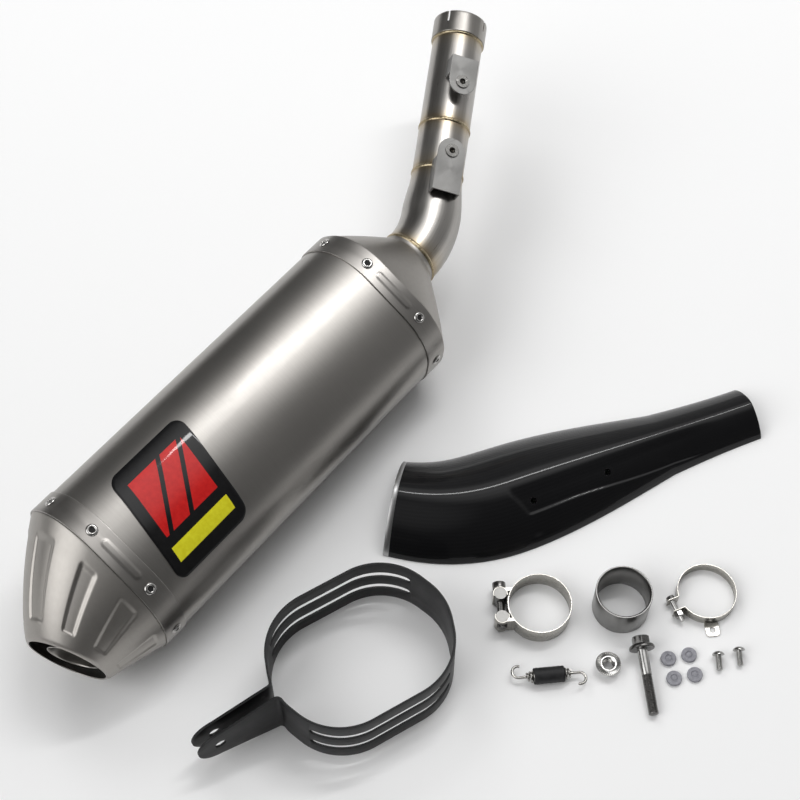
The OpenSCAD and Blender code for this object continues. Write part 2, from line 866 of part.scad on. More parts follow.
module strap() {
  color([0.07, 0.07, 0.075])
    on_table(strap_pos, strap_dir)
      difference() {
        union() {
          difference() {
            linear_extrude(strap_w)
              difference() {
                polygon(section(strap_off));
                polygon(section(strap_room));
                translate([-ear_reach, -ear_gap / 2])
                  square([ear_reach - side_reach / 2, ear_gap]);
              }
            for (s = [-1, 1], z = [0.32, 0.68])
              translate([slot_at - s * slot_stagger, s * face_reach * 1.5, strap_w * z])
                rotate([90, 0, 0])
                  translate([0, 0, s > 0 ? 0 : -face_reach])
                    linear_extrude(face_reach)
                      polygon(obround(slot_l, slot_w / 2));
          }
          ear(ear_gap / 2);
          ear(-ear_gap / 2 - strap_t);
        }
        translate([pin_at[0], 0, pin_at[1]])
          rotate([-90, 0, 0])
            cylinder(h = 30, r = 2.5 + lap_gap);
      }
}

module strap_pin() {
  color([0.16, 0.16, 0.17])
    on_table(strap_pos, strap_dir)
      translate([pin_at[0], ear_gap / 2, pin_at[1]])
        rotate([-90, 0, 0]) {
          cylinder(h = strap_t + 0.2, r = 2.5);
          translate([0, 0, strap_t + 0.15])
            cylinder(h = 2.2, r1 = 4, r2 = 3.2);
        }
}

// Bolt clamp: a band wrapped round two barrels, with a bolt through both

clamp_mid = clamp_w / 2;

module clamp_band() {
  color([0.72, 0.7, 0.65])
    on_table(clamp_pos, clamp_dir)
      difference() {
        linear_extrude(clamp_w)
          difference() {
            union() {
              circle(r = clamp_out_r);
              for (s = [-1, 1])
                translate([barrel_x, s * barrel_pitch / 2])
                  circle(r = barrel_r + lap_gap + clamp_t);
              for (s = [-1, 1])
                translate([clamp_out_r * 0.72, s * barrel_pitch / 2 + (s > 0 ? barrel_r * 0.35 : -barrel_r)])
                  square([barrel_x - clamp_out_r * 0.72, barrel_r * 0.65]);
            }
            circle(r = clamp_in_r);
            translate([clamp_in_r * 0.6, -clamp_gap / 2])
              square([clamp_out_r, clamp_gap]);
            for (s = [-1, 1])
              translate([barrel_x, s * barrel_pitch / 2])
                circle(r = barrel_r + lap_gap);
          }
        translate([barrel_x - clamp_bolt_r - 0.8, -60, clamp_mid - clamp_bolt_r - 0.8])
          cube([2 * clamp_bolt_r + 1.6, 120, 2 * clamp_bolt_r + 1.6]);
      }
}

module clamp_bridge() {
  color([0.66, 0.65, 0.61])
    on_table(clamp_pos, clamp_dir)
      translate([0, 0, 0.5])
        intersection() {
          difference() {
            cylinder(h = clamp_w - 1, r = clamp_out_r);
            translate([0, 0, -1])
              cylinder(h = clamp_w + 2, r = clamp_in_r + lap_gap);
          }
          translate([clamp_in_r * 0.6 + 1, -clamp_gap / 2 + 0.2, -1])
            cube([50, clamp_gap - 0.4, clamp_w + 2]);
        }
}

module barrel(s, hole_r) {
  on_table(clamp_pos, clamp_dir)
    translate([barrel_x, s * barrel_pitch / 2, 0])
      difference() {
        cylinder(h = clamp_w, r = barrel_r);
        translate([0, 30, clamp_mid])
          rotate([90, 0, 0])
            cylinder(h = 60, r = hole_r);
      }
}

module clamp_barrel_plain() {
  color([0.74, 0.73, 0.7])
    barrel(-1, clamp_bolt_r + run_gap);
}

module clamp_barrel_threaded() {
  color([0.74, 0.73, 0.7])
    barrel(1, clamp_bolt_r + run_gap);
}

clamp_head_y = -barrel_pitch / 2 - barrel_r - lap_gap - clamp_t - 0.3;

module clamp_bolt() {
  color([0.5, 0.5, 0.5])
    on_table(clamp_pos, clamp_dir)
      translate([barrel_x, clamp_head_y, clamp_mid])
        rotate([-90, 0, 0]) {
          cylinder(h = barrel_pitch + barrel_r * 2 + 3, r = clamp_bolt_r);
          translate([0, 0, -6])
            difference() {
              cylinder(h = 6, r = clamp_bolt_r + 2.2);
              translate([0, 0, -1])
                cylinder(h = 4, r = clamp_bolt_r * 0.95, $fn = 6);
            }
        }
}

module reducer_sleeve() {
  color([0.62, 0.61, 0.6])
    on_table(reducer_pos, 0)
      difference() {
        cylinder(h = reducer_h, r = pipe_r);
        translate([0, 0, -1])
          cylinder(h = reducer_h + 2, r = pipe_r - reducer_wall);
        translate([0, 0, reducer_h - 1])
          cylinder(h = 1.01, r1 = pipe_r - reducer_wall, r2 = pipe_r - reducer_wall + 0.8);
      }
}

// Tab clamp: a ring with two ears, a screw across them and a drilled tab

tab_screw_x = tab_out_r + tab_screw_r + 2.6;

module tab_clamp_band() {
  color([0.75, 0.74, 0.71])
    on_table(tab_pos, tab_dir)
      difference() {
        union() {
          linear_extrude(tab_clamp_w)
            difference() {
              union() {
                circle(r = tab_out_r);
                translate([tab_in_r * 0.9, -tab_gap / 2 - tab_clamp_t])
                  square([tab_screw_x + tab_screw_r + 2 - tab_in_r * 0.9, tab_gap + 2 * tab_clamp_t]);
              }
              circle(r = tab_in_r);
              translate([tab_in_r * 0.5, -tab_gap / 2])
                square([60, tab_gap]);
            }
          rotate([0, 0, 72])
            linear_extrude(tab_clamp_t)
              difference() {
                translate([tab_in_r + 5.5, 0])
                  polygon(rounded_box(13, 11, 3));
                circle(r = tab_in_r);
                translate([tab_out_r + 6, 0])
                  circle(r = 2.2);
              }
        }
        translate([tab_screw_x, 0, tab_clamp_w / 2])
          rotate([90, 0, 0])
            translate([0, 0, -30])
              cylinder(h = 60, r = tab_screw_r + run_gap);
      }
}

tab_ear_y = tab_gap / 2 + tab_clamp_t;

module tab_clamp_screw() {
  color([0.7, 0.7, 0.69])
    on_table(tab_pos, tab_dir)
      translate([tab_screw_x, -tab_ear_y - lap_gap, tab_clamp_w / 2])
        rotate([-90, 0, 0])
          difference() {
            union() {
              cylinder(h = 2 * tab_ear_y + 8, r = tab_screw_r);
              translate([0, 0, -3.2])
                cylinder(h = 3.2, r1 = tab_screw_r + 1.3, r2 = tab_screw_r + 2);
            }
            translate([-6, -0.5, -4])
              cube([12, 1, 2.2]);
          }
}

module tab_clamp_nut() {
  color([0.68, 0.68, 0.67])
    on_table(tab_pos, tab_dir)
      translate([tab_screw_x, tab_ear_y + lap_gap, tab_clamp_w / 2])
        rotate([-90, 0, 0])
          difference() {
            cylinder(h = 4, r = tab_screw_r + 2.2, $fn = 6);
            translate([0, 0, -1])
              cylinder(h = 8, r = tab_screw_r + run_gap);
          }
}

// Spring: one unbroken wire tube with narrowed ends, a rubber sleeve and two swivel hooks

curl_n = 8;
wire_n = 6;
coil_steps = coil_turns * curl_n;

function coil_radius(u) =
  coil_end_r + (coil_r - coil_end_r) * ease(u / 0.13) * ease((1 - u) / 0.13);

function coil_pt(k) =
  let (u = k / coil_steps, a = 360 * k / curl_n, r = coil_radius(u))
  [coil_l * (u - 0.5), r * cos(a), r * sin(a)];

coil_pts = [for (k = [0:coil_steps]) coil_pt(k)];

coil_gap = min([for (i = [0:coil_steps - 5], j = [i + 5:min(coil_steps, i + 2 * curl_n)])
  norm(coil_pts[i] - coil_pts[j])]) - 2 * wire_r;

echo("spring least gap to itself, mm", coil_gap);

function wire_ring(k) =
  let (a = 360 * k / curl_n, out = [0, cos(a), sin(a)],
    t0 = coil_pts[min(coil_steps, k + 1)] - coil_pts[max(0, k - 1)], t = t0 / norm(t0),
    n0 = out - t * (out * t), n = n0 / norm(n0), b = cross(t, n))
  [for (i = [0:wire_n - 1])
    coil_pts[k] + wire_r * (n * cos(360 * i / wire_n) + b * sin(360 * i / wire_n))];

module on_spring() {
  translate([spring_pos[0], spring_pos[1], rubber_r])
    rotate([0, 0, spring_dir])
      children();
}

module spring_coil() {
  color([0.72, 0.72, 0.71])
    on_spring()
      wire_tube([for (k = [0:coil_steps]) wire_ring(k)]);
}

module spring_rubber() {
  color([0.05, 0.05, 0.055])
    on_spring()
      translate([-rubber_l / 2, 0, 0])
        rotate([0, 90, 0])
          difference() {
            cylinder(h = rubber_l, r = rubber_r);
            translate([0, 0, -1])
              cylinder(h = rubber_l + 2, r = rubber_in_r);
          }
}

hook_head_x = coil_l * 0.37;
hook_stem_x = coil_l / 2 + 6;

hook_n = 14;
hook_path = concat([[hook_head_x, 0, 0], [(hook_head_x + hook_stem_x) / 2, 0, 0]],
  [for (k = [0:hook_n])
    let (a = 90 - 200 * k / hook_n)
    [hook_stem_x + hook_bend_r * cos(a), hook_bend_r * (sin(a) - 1), 0]]);

function path_ring(path, k, r, n) =
  let (t = path[min(len(path) - 1, k + 1)] - path[max(0, k - 1)], u = t / norm(t),
    side = [-u[1], u[0], 0])
  [for (i = [0:n - 1]) path[k] + r * (side * cos(360 * i / n) + [0, 0, 1] * sin(360 * i / n))];

module wire_tube(rings) {
  n = len(rings[0]);
  m = len(rings);
  polyhedron(
    points = [for (r = rings) each r],
    faces = concat(
      [[for (i = [0:n - 1]) i]],
      [for (k = [0:m - 2], i = [0:n - 1])
        let (a = k * n + i, b = k * n + (i + 1) % n)
        each [[a, a + n, b], [b, a + n, b + n]]],
      [[for (i = [0:n - 1]) m * n - 1 - i]]));
}

module hook() {
  wire_tube([for (k = [0:len(hook_path) - 1]) path_ring(hook_path, k, hook_r, 12)]);
  translate([hook_head_x - 0.7, 0, 0])
    rotate([0, 90, 0])
      cylinder(h = 1.4, r = coil_r - wire_r - 0.5, $fn = 24);
}

module spring_hook_right() {
  color([0.75, 0.74, 0.72])
    on_spring()
      hook();
}

module spring_hook_left() {
  color([0.75, 0.74, 0.72])
    on_spring()
      rotate([0, 0, 180])
        hook();
}

// Fasteners

nut_h = 8.4;

module flange_nut() {
  color([0.75, 0.75, 0.74])
    on_table(nut_pos, 12)
      difference() {
        union() {
          cylinder(h = nut_h - 1.5, r = bolt_r * 1.85, $fn = 6);
          translate([0, 0, nut_h - 3.5])
            cylinder(h = 1.7, r1 = flange_r * 0.78, r2 = flange_r);
          translate([0, 0, nut_h - 1.8])
            cylinder(h = 1.8, r = flange_r);
        }
        translate([0, 0, -1])
          cylinder(h = nut_h + 2, r = bolt_r + run_gap);
        translate([0, 0, nut_h - 0.9])
          cylinder(h = 1, r1 = bolt_r + run_gap, r2 = bolt_r + 1);
        for (k = [0:19])
          rotate([0, 0, 18 * k])
            translate([bolt_r + 2, -0.4, nut_h - 0.5])
              cube([flange_r, 0.8, 1]);
      }
}

module flange_bolt() {
  color([0.55, 0.55, 0.55])
    translate([bolt_pos[0], bolt_pos[1], flange_r * cos(bolt_tilt) + 2 * sin(bolt_tilt)])
      rotate([0, 90 + bolt_tilt, bolt_dir]) {
        difference() {
          union() {
            cylinder(h = 2, r = flange_r);
            translate([0, 0, -2])
              cylinder(h = 2.05, r1 = flange_r * 0.78, r2 = flange_r);
            translate([0, 0, -8])
              cylinder(h = 8, r = bolt_r * 1.75, $fn = 6);
          }
          translate([0, 0, -9])
            cylinder(h = 4, r = bolt_r * 0.9);
        }
        translate([0, 0, 1.9])
          cylinder(h = bolt_plain_l, r = bolt_r);
        translate([0, 0, bolt_plain_l + 1.8])
          cylinder(h = bolt_l - bolt_plain_l - 1, r = bolt_thread_r);
        translate([0, 0, bolt_l + 0.75])
          cylinder(h = 1, r1 = bolt_thread_r, r2 = bolt_thread_r - 0.8);
      }
}

module damping_washers() {
  color([0.6, 0.61, 0.64])
    for (a = [0:3])
      on_table(washers_pos + washers_pitch * 0.707 * unit(5 + 90 * a), 0)
        difference() {
          cylinder(h = 3, r = washer_r);
          translate([0, 0, -1])
            cylinder(h = 6, r = screw_hole_r);
          translate([0, 0, 2.5])
            difference() {
              cylinder(h = 1, r = washer_r * 0.8);
              translate([0, 0, -1])
                cylinder(h = 3, r = washer_r * 0.62);
            }
        }
}

module shield_screw() {
  translate([0, 0, screw_head_r * cos(screw_tilt) + 0.3 * sin(screw_tilt)])
    rotate([0, 90 + screw_tilt, 0])
      difference() {
        union() {
          cylinder(h = screw_l, r = screw_r);
          rotate_extrude()
            polygon(concat([[0, 0.3], [screw_head_r, 0.3]],
              [for (k = [0:6]) [screw_head_r * cos(13 * k), -2.6 * sin(13 * k)]], [[0, -2.6]]));
        }
        translate([0, 0, -4])
          cylinder(h = 3, r = screw_r * 0.72, $fn = 6);
      }
}

module shield_screws() {
  color([0.7, 0.69, 0.67])
    for (k = [0, 1])
      on_table(screws_pos + screws_step * k, screws_dir)
        shield_screw();
}

outer_sleeve();
inlet_cap();
outlet_cap();
outlet_baffle();
outlet_tube();
core_tube();
packing();
inlet_band();
outlet_band();
inlet_rivets();
outlet_rivets();
badge_plate();
pipe_elbow();
pipe_lower();
pipe_middle();
pipe_upper();
pipe_collar();
cap_weld();
lower_weld();
middle_weld();
collar_weld();
lower_bracket();
upper_bracket();
lower_insert();
upper_insert();
heat_shield();
strap();
strap_pin();
clamp_band();
clamp_bridge();
clamp_barrel_plain();
clamp_barrel_threaded();
clamp_bolt();
reducer_sleeve();
tab_clamp_band();
tab_clamp_screw();
tab_clamp_nut();
spring_coil();
spring_rubber();
spring_hook_left();
spring_hook_right();
flange_nut();
flange_bolt();
damping_washers();
shield_screws();
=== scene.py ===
import math

import bmesh
import bpy
import numpy as np
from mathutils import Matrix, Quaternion, Vector


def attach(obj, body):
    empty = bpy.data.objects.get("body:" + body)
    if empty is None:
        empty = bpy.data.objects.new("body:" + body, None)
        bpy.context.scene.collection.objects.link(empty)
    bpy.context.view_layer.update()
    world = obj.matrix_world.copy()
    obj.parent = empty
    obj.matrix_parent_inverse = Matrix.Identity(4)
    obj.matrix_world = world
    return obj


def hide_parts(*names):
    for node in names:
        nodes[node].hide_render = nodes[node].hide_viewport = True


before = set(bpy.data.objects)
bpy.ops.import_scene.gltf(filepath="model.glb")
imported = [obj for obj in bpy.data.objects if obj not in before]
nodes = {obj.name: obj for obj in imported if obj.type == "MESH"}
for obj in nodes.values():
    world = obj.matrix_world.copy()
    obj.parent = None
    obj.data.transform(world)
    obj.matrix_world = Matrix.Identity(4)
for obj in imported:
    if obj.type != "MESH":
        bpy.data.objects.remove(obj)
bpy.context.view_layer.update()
scene = bpy.context.scene

# Sizes in millimetres and degrees, the same as the part's source
FACE_REACH, SIDE_REACH, FACE_TURN, CORNER_R = 54.0, 68.5, 70.0, 47.0
RIVET_SPAN, BAND_W, BAND_T, LAP = 306.0, 20.0, 1.0, 0.1
SLEEVE_WALL = 1.2
ROLL = 26.2
MUFFLER = (-134.38, -249.61)
OUT_L, OUT_W, OUT_H, OUT_SHIFT, OUT_SLANT = 70.0, 31.0, 29.5, 26.5, 19.0
IN_L, IN_SHIFT, NECK_R = 49.0, -8.0, 25.4
RIVET_OFFSET, RIVET_R, RIVET_HEAD = 29.5, 2.4, 1.3
BADGE_L, BADGE_W, BADGE_SKEW, BADGE_AT, BADGE_SHIFT = 74.0, 90.0, -0.15, 64.0, -2.0
PIPE_R, PIPE_WALL = 22.0, 1.2
ELBOW_R, ELBOW_BEND, ELBOW_RISE = 79.0, 33.0, 22.0
TAIL, MIDDLE, UPPER = 38.0, 45.0, 93.0
COLLAR_L, COLLAR_LAP, COLLAR_WALL = 20.0, 6.0, 1.5
SHIELD = (-23.88, -48.11)
SHIELD_DIR, SHIELD_L, SHIELD_BEND = 26.0, 313.0, 35.0
SHIELD_W, SHIELD_BULGE, SHIELD_TIP_W = 43.0, 7.0, 25.0
SHIELD_H, SHIELD_TIP_H, SHIELD_T = 34.0, 20.0, 1.8
HOLE_AT, HOLE_ROLL, HOLE_PITCH, HOLE_R = 106.0, 26.0, 67.0, 2.75
STRAP, STRAP_DIR = (47.32, -172.41), 70.0
STRAP_W, STRAP_T, STRAP_ROOM, EAR_GAP, EAR_REACH, EAR_R = 56.0, 1.8, 0.6, 8.4, 121.0, 18.0
SLOT_W = 8.0
SPRING, SPRING_DIR = (160.1, -85.58), 45.0
RUBBER_R, RUBBER_L, COIL_L, COIL_R, WIRE_R, TURNS = 6.3, 23.5, 34.0, 4.0, 0.8, 14
HOOK_BEND, HOOK_R = 4.6, 0.9
NUT = (189.8, -49.88)
BOLT, BOLT_DIR = (201.8, -23.58), -44.0
BOLT_R, BOLT_L, BOLT_PLAIN, FLANGE_R = 4.0, 51.0, 20.0, 9.8
WASHERS, WASHERS_PITCH, WASHER_R = (233.4, -13.78), 16.3, 5.9
SCREWS, SCREWS_STEP, SCREWS_DIR = (249.9, 10.72), (10.2, 13.2), -49.0
SCREW_R, SCREW_L = 2.45, 12.0

# Finer forms of the scene alone
LIP_CUT = 5.0  # the outlet's upper lip is cut back by this
FLUTE_TOP, FLUTE_BOTTOM, FLUTE_R, FLUTE_WALL = 8.0, 58.0, 4.0, 4.4
FLUTES = ((66.0, 14.5), (16.2, 9.5), (-26.0, 10.8), (-71.6, 10.5), (-117.2, 10.5), (-162.8, 10.5), (-208.4, 10.5),
          (152.3, 10.5), (110.0, 10.5))  # middle and half width
RIB_HEIGHT, RIB_WALL, RIB_HALF, RIB_R = 0.4, 2.6, 20.0, 4.0
CREST = 0.15  # rounding of the shield's crest
STRAP_SLOTS = ((-113.4, 59.9), (98.6, 65.6))  # middle and half length along the sheet

SEAM_OUT, SEAM_IN = -BAND_W / 2, RIVET_SPAN + BAND_W / 2
NECK_AT = SEAM_IN + IN_L


def sind(a):
    return math.sin(math.radians(a))


def cosd(a):
    return math.cos(math.radians(a))


def ease(x):
    c = np.clip(x, 0, 1)
    return c * c * (3 - 2 * c)


def move(x, y, z):
    m = np.eye(4)
    m[:3, 3] = x, y, z
    return m


def turn(axis, a):
    i, j = {"x": (1, 2), "y": (2, 0), "z": (0, 1)}[axis]
    m = np.eye(4)
    m[i, i] = m[j, j] = cosd(a)
    m[i, j], m[j, i] = -sind(a), sind(a)
    return m


def place(m, pts):
    pts = np.asarray(pts, float)
    return pts @ m[:3, :3].T + m[:3, 3]


def circle(m, r, z, seg):
    """A ring of points about the z axis of m; r and z are one number or one for each point."""
    a = np.radians(360 * np.arange(seg) / seg)
    return place(m, np.column_stack([r * np.cos(a), r * np.sin(a), np.broadcast_to(z, seg)]))


def run_length(path):
    """Length along a path up to each of its points."""
    return np.concatenate([[0], np.cumsum(np.linalg.norm(np.diff(path, axis=0), axis=1))])


# Muffler section: six flats joined by arcs

FACE_A = [-90, FACE_TURN - 90, 90 - FACE_TURN, 90, 90 + FACE_TURN, 270 - FACE_TURN]
FACE_D = [FACE_REACH, SIDE_REACH, SIDE_REACH] * 2


def corner_at(i):
    a, b = FACE_A[i], FACE_A[(i + 1) % 6]
    d, e = FACE_D[i] - CORNER_R, FACE_D[(i + 1) % 6] - CORNER_R
    return np.array([d * sind(b) - e * sind(a), e * cosd(a) - d * cosd(b)]) / sind(b - a)


def section(off=0.0, arc=14, flat=12):
    """Points of the section with an offset, counter-clockwise from face 0."""
    pts, r = [], CORNER_R + off
    for i in range(6):
        j = (i + 1) % 6
        span = (FACE_A[j] - FACE_A[i] + 360) % 360
        for k in range(arc + 1):
            a = FACE_A[i] + span * k / arc
            pts.append(corner_at(i) + r * np.array([cosd(a), sind(a)]))
        n = np.array([cosd(FACE_A[j]), sind(FACE_A[j])])
        p, q = corner_at(i) + r * n, corner_at(j) + r * n
        for k in range(1, flat + 1):
            pts.append(p + (q - p) * k / (flat + 1))
    return np.array(pts)


def section_normals(loop):
    d = np.roll(loop, -1, 0) - np.roll(loop, 1, 0)
    n = np.column_stack([d[:, 1], -d[:, 0]])
    return n / np.linalg.norm(n, axis=1)[:, None]


def towards_oval(p, w, h, shift, k):
    """Takes a loop of the section the share k of the way to an oval."""
    a = np.arctan2(p[:, 1] / h, p[:, 0] / w)
    return p * (1 - k) + np.column_stack([w * np.cos(a) + shift, h * np.sin(a)]) * k


def girth(loop):
    return run_length(np.concatenate([loop, loop[:1]]))


FLAT_HALF = corner_at(2)[0]
SHELL_HALF = corner_at(1)[0] + CORNER_R
RIVET_TURN = math.degrees(math.asin(max(0.0, RIVET_OFFSET - FLAT_HALF) / CORNER_R))
_low = [-(corner_at(i)[1] * cosd(ROLL) - corner_at(i)[0] * sind(ROLL)) for i in range(6)]
_lean = abs(ROLL - RIVET_TURN)
_rivet_low = (CORNER_R + 2 * LAP + BAND_T + RIVET_HEAD) * cosd(_lean) + (RIVET_R + RIVET_HEAD) * sind(_lean)
AXIS_H = max([_low[0] + _rivet_low] + [l + CORNER_R + LAP + BAND_T for l in _low])
M_MUF = move(MUFFLER[0], MUFFLER[1], AXIS_H) @ turn("y", ROLL)
NECK_H = AXIS_H - IN_SHIFT * sind(ROLL)
M_NECK = move(MUFFLER[0] + IN_SHIFT * cosd(ROLL), MUFFLER[1] + NECK_AT + 0.05, NECK_H) @ turn("y", ELBOW_RISE)


def at_pipe(l):
    return M_NECK @ move(-ELBOW_R, 0, 0) @ turn("z", ELBOW_BEND) @ move(ELBOW_R, l, 0)


def on_table(pos, a):
    return move(pos[0], pos[1], 0) @ turn("z", a)


def ring_at(t, loop):
    """A loop of the section placed at t along the muffler; t is one number or one for each point."""
    return place(M_MUF, np.column_stack([loop[:, 0], np.broadcast_to(t, len(loop)), loop[:, 1]]))


# Mesh building


def add(name, data):
    obj = bpy.data.objects.new(name, data)
    scene.collection.objects.link(obj)
    return obj


def soften(obj, width):
    """Rounds the edges by a width in millimetres."""
    mod = obj.modifiers.new("round", "BEVEL")
    mod.width, mod.segments = width / 1000.0, 2
    mod.limit_method, mod.angle_limit = "ANGLE", math.radians(40)


class Shape:
    """Collects grids of points as one mesh, with a UV for each face corner in millimetres."""

    def __init__(self):
        self.v, self.f, self.uv, self.n = [], [], [], 0

    def grid(self, pts, us=None, vs=None, wrap=False, loop=False, keep=None, uv=None):
        """pts is (m, n, 3); wrap joins the last column to the first, loop the last row to the first.

        us and vs are the UV of the columns and rows; uv gives it point by point instead."""
        pts = np.asarray(pts, float)
        m, n = pts.shape[:2]
        us = np.arange(n + 1, dtype=float) if us is None else np.asarray(us, float)
        vs = np.arange(m + 1, dtype=float) if vs is None else np.asarray(vs, float)
        base = self.n
        self.v.append(pts.reshape(-1, 3))
        self.n += m * n
        for j in range(m if loop else m - 1):
            for i in range(n if wrap else n - 1):
                if keep is not None and not keep(j, i):
                    continue
                ends = ((j, i), (j, i + 1), (j + 1, i + 1), (j + 1, i))
                self.f.append(tuple([base + b % m * n + a % n for b, a in ends]))
                self.uv.append(tuple([(us[a], vs[b]) if uv is None else tuple(uv[b % m][a % n]) for b, a in ends]))
        return self

    def cap(self, ring, uv=None):
        ring = np.asarray(ring, float)
        self.v.append(ring)
        self.f.append(tuple(range(self.n, self.n + len(ring))))
        self.uv.append(tuple((p[0], p[1]) for p in (ring if uv is None else uv)))
        self.n += len(ring)
        return self

    def lathe(self, m, profile, seg=64, closed=False, wave=None):
        """Turns a profile of (r, z) about the z axis of m; wave(a, k) adds (dr, dz) to each point."""
        prof = np.asarray(profile, float)
        rows = []
        for k, (r, z) in enumerate(prof):
            row = []
            for s in range(seg):
                a = 2 * math.pi * s / seg
                dr, dz = wave(a, k) if wave else (0, 0)
                row.append(((r + dr) * math.cos(a), (r + dr) * math.sin(a), z + dz))
            rows.append(place(m, row))
        big = max(abs(prof[:, 0]).max(), 1e-3)
        us = np.linspace(0, 2 * math.pi * big, seg + 1)
        self.grid(rows, us=us, vs=np.append(run_length(prof), 0), wrap=True, loop=closed)
        if not closed:
            for k in (0, -1):
                if prof[k, 0] > 1e-6:
                    self.cap(rows[k] if k else rows[k][::-1])
        return self

    def tube(self, path, radius, seg=16, ends=True):
        """Round tube along a path of points; radius is one number or one for each point."""
        path = np.asarray(path, float)
        r = np.broadcast_to(np.asarray(radius, float), (len(path),))
        t = np.gradient(path, axis=0)
        t /= np.linalg.norm(t, axis=1)[:, None]
        n = np.cross((0, 0, 1.0), t[0])
        a = np.linspace(0, 2 * math.pi, seg, endpoint=False)[:, None]
        rows = []
        for k in range(len(path)):
            n = n - t[k] * (n @ t[k])
            n /= np.linalg.norm(n)
            rows.append(path[k] + r[k] * (np.cos(a) * n + np.sin(a) * np.cross(t[k], n)))
        self.grid(rows, us=np.linspace(0, 2 * math.pi * r.max(), seg + 1), vs=run_length(path), wrap=True)
        if ends:
            self.cap(rows[0][::-1]).cap(rows[-1])
        return self

    def mesh(self, name, uvs=True):
        mesh = bpy.data.meshes.new(name)
        mesh.from_pydata((np.concatenate(self.v) / 1000.0).tolist(), [], self.f)
        if uvs:
            flat = [c for face in self.uv for c in face]
            layer = mesh.uv_layers.new(name="UVMap")
            layer.data.foreach_set("uv", np.array(flat, np.float32).ravel() / 1000.0)
        b = bmesh.new()
        b.from_mesh(mesh)
        bmesh.ops.remove_doubles(b, verts=b.verts, dist=2e-6)
        bmesh.ops.dissolve_degenerate(b, edges=b.edges, dist=1e-7)
        bmesh.ops.recalc_face_normals(b, faces=b.faces)
        b.to_mesh(mesh)
        b.free()
        return mesh

    def make(self, name, mat, body, replaces=(), slot=None, sharp=38.0, solid=None, bevel=None, cuts=()):
        """Builds the object, with an even thickness, cut holes and rounded edges where asked."""
        obj = add(name, self.mesh(name))
        if solid:
            mod = obj.modifiers.new("thick", "SOLIDIFY")
            mod.thickness, mod.offset = solid / 1000.0, 0.0
            mod.use_even_offset, mod.use_rim = True, True
        for tool in cuts:
            mod = obj.modifiers.new("cut", "BOOLEAN")
            mod.operation, mod.solver, mod.object = "DIFFERENCE", "EXACT", tool
        if bevel:
            soften(obj, bevel)
        if obj.modifiers:
            bpy.context.view_layer.update()
            done = bpy.data.meshes.new_from_object(obj.evaluated_get(bpy.context.evaluated_depsgraph_get()))
            obj.modifiers.clear()
            obj.data = done
        for tool in cuts:
            bpy.data.objects.remove(tool)
        mesh = obj.data
        mesh.materials.clear()
        mesh.materials.append(mat)
        mesh.polygons.foreach_set("use_smooth", [True] * len(mesh.polygons))
        mesh.set_sharp_from_angle(angle=math.radians(sharp))
        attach(obj, body)
        if replaces:
            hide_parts(*([replaces] if isinstance(replaces, str) else replaces))
        return obj


def drill(m, r, h):
    """A cylinder along the z axis of m, for cutting."""
    return add("drill", Shape().lathe(m, [(r, -h / 2), (r, h / 2)], 40).mesh("drill", uvs=False))


def read(items, key, size=1, kind=float):
    out = np.empty(len(items) * size, kind)
    items.foreach_get(key, out)
    return out.reshape(-1, size) if size > 1 else out


def oval_shade(obj, weight=0.85, shift=0.0, length=1.0):
    """Turns the shading normals of a shell piece towards an oval's, as the crowned faces of the real one have.

    shift and length follow a cap that runs off to one side."""
    mesh, m, full = obj.data, M_MUF[:3, :3], 2 * math.pi
    base = section(0, 60, 40)
    n = section_normals(base)
    polar = np.unwrap(np.arctan2(base[:, 1], base[:, 0]))
    flat_n = np.unwrap(np.arctan2(n[:, 1], n[:, 0]))
    oval_n = np.unwrap(np.arctan2(np.sin(polar) / FACE_REACH ** 2, np.cos(polar) / SHELL_HALF ** 2))
    gap = (oval_n - flat_n + math.pi) % full - math.pi
    order = np.argsort(polar % full)
    local = place(np.linalg.inv(M_MUF), read(mesh.vertices, "co", 3) * 1000.0)
    corner = local[read(mesh.loops, "vertex_index", kind=int)]
    nrm = read(mesh.corner_normals, "vector", 3) @ m
    along = np.clip((SEAM_OUT - corner[:, 1]) / length, 0, 1) if shift else np.zeros(len(corner))
    a = np.arctan2(corner[:, 2], corner[:, 0] - shift * along) % full
    turn_by = np.interp(a, (polar % full)[order], gap[order], period=full)
    out = np.clip((nrm[:, 0] * np.cos(a) + nrm[:, 2] * np.sin(a)) * 4 - 1, 0, 1)
    t = turn_by * weight * (1 - along) * out
    x = nrm[:, 0] * np.cos(t) - nrm[:, 2] * np.sin(t)
    z = nrm[:, 0] * np.sin(t) + nrm[:, 2] * np.cos(t)
    mesh.normals_split_custom_set((np.column_stack([x, nrm[:, 1], z]) @ m.T).tolist())


# Materials


class Nodes:
    """Adds nodes to a tree; an input is a constant or another node's output."""

    def __init__(self, tree):
        self.t = tree

    def put(self, sock, x):
        if isinstance(x, bpy.types.NodeSocket):
            self.t.links.new(x, sock)
        else:
            sock.default_value = (*x, 1) if sock.type == "RGBA" else x

    def node(self, kind, props=None, **inputs):
        n = self.t.nodes.new(kind)
        for key, value in (props or {}).items():
            setattr(n, key, value)
        for key, value in inputs.items():
            self.put(n.inputs[key.replace("_", " ")], value)
        return n

    def math(self, op, *args):
        n = self.node("ShaderNodeMath", {"operation": op})
        for sock, x in zip(n.inputs, args):
            self.put(sock, x)
        return n.outputs[0]


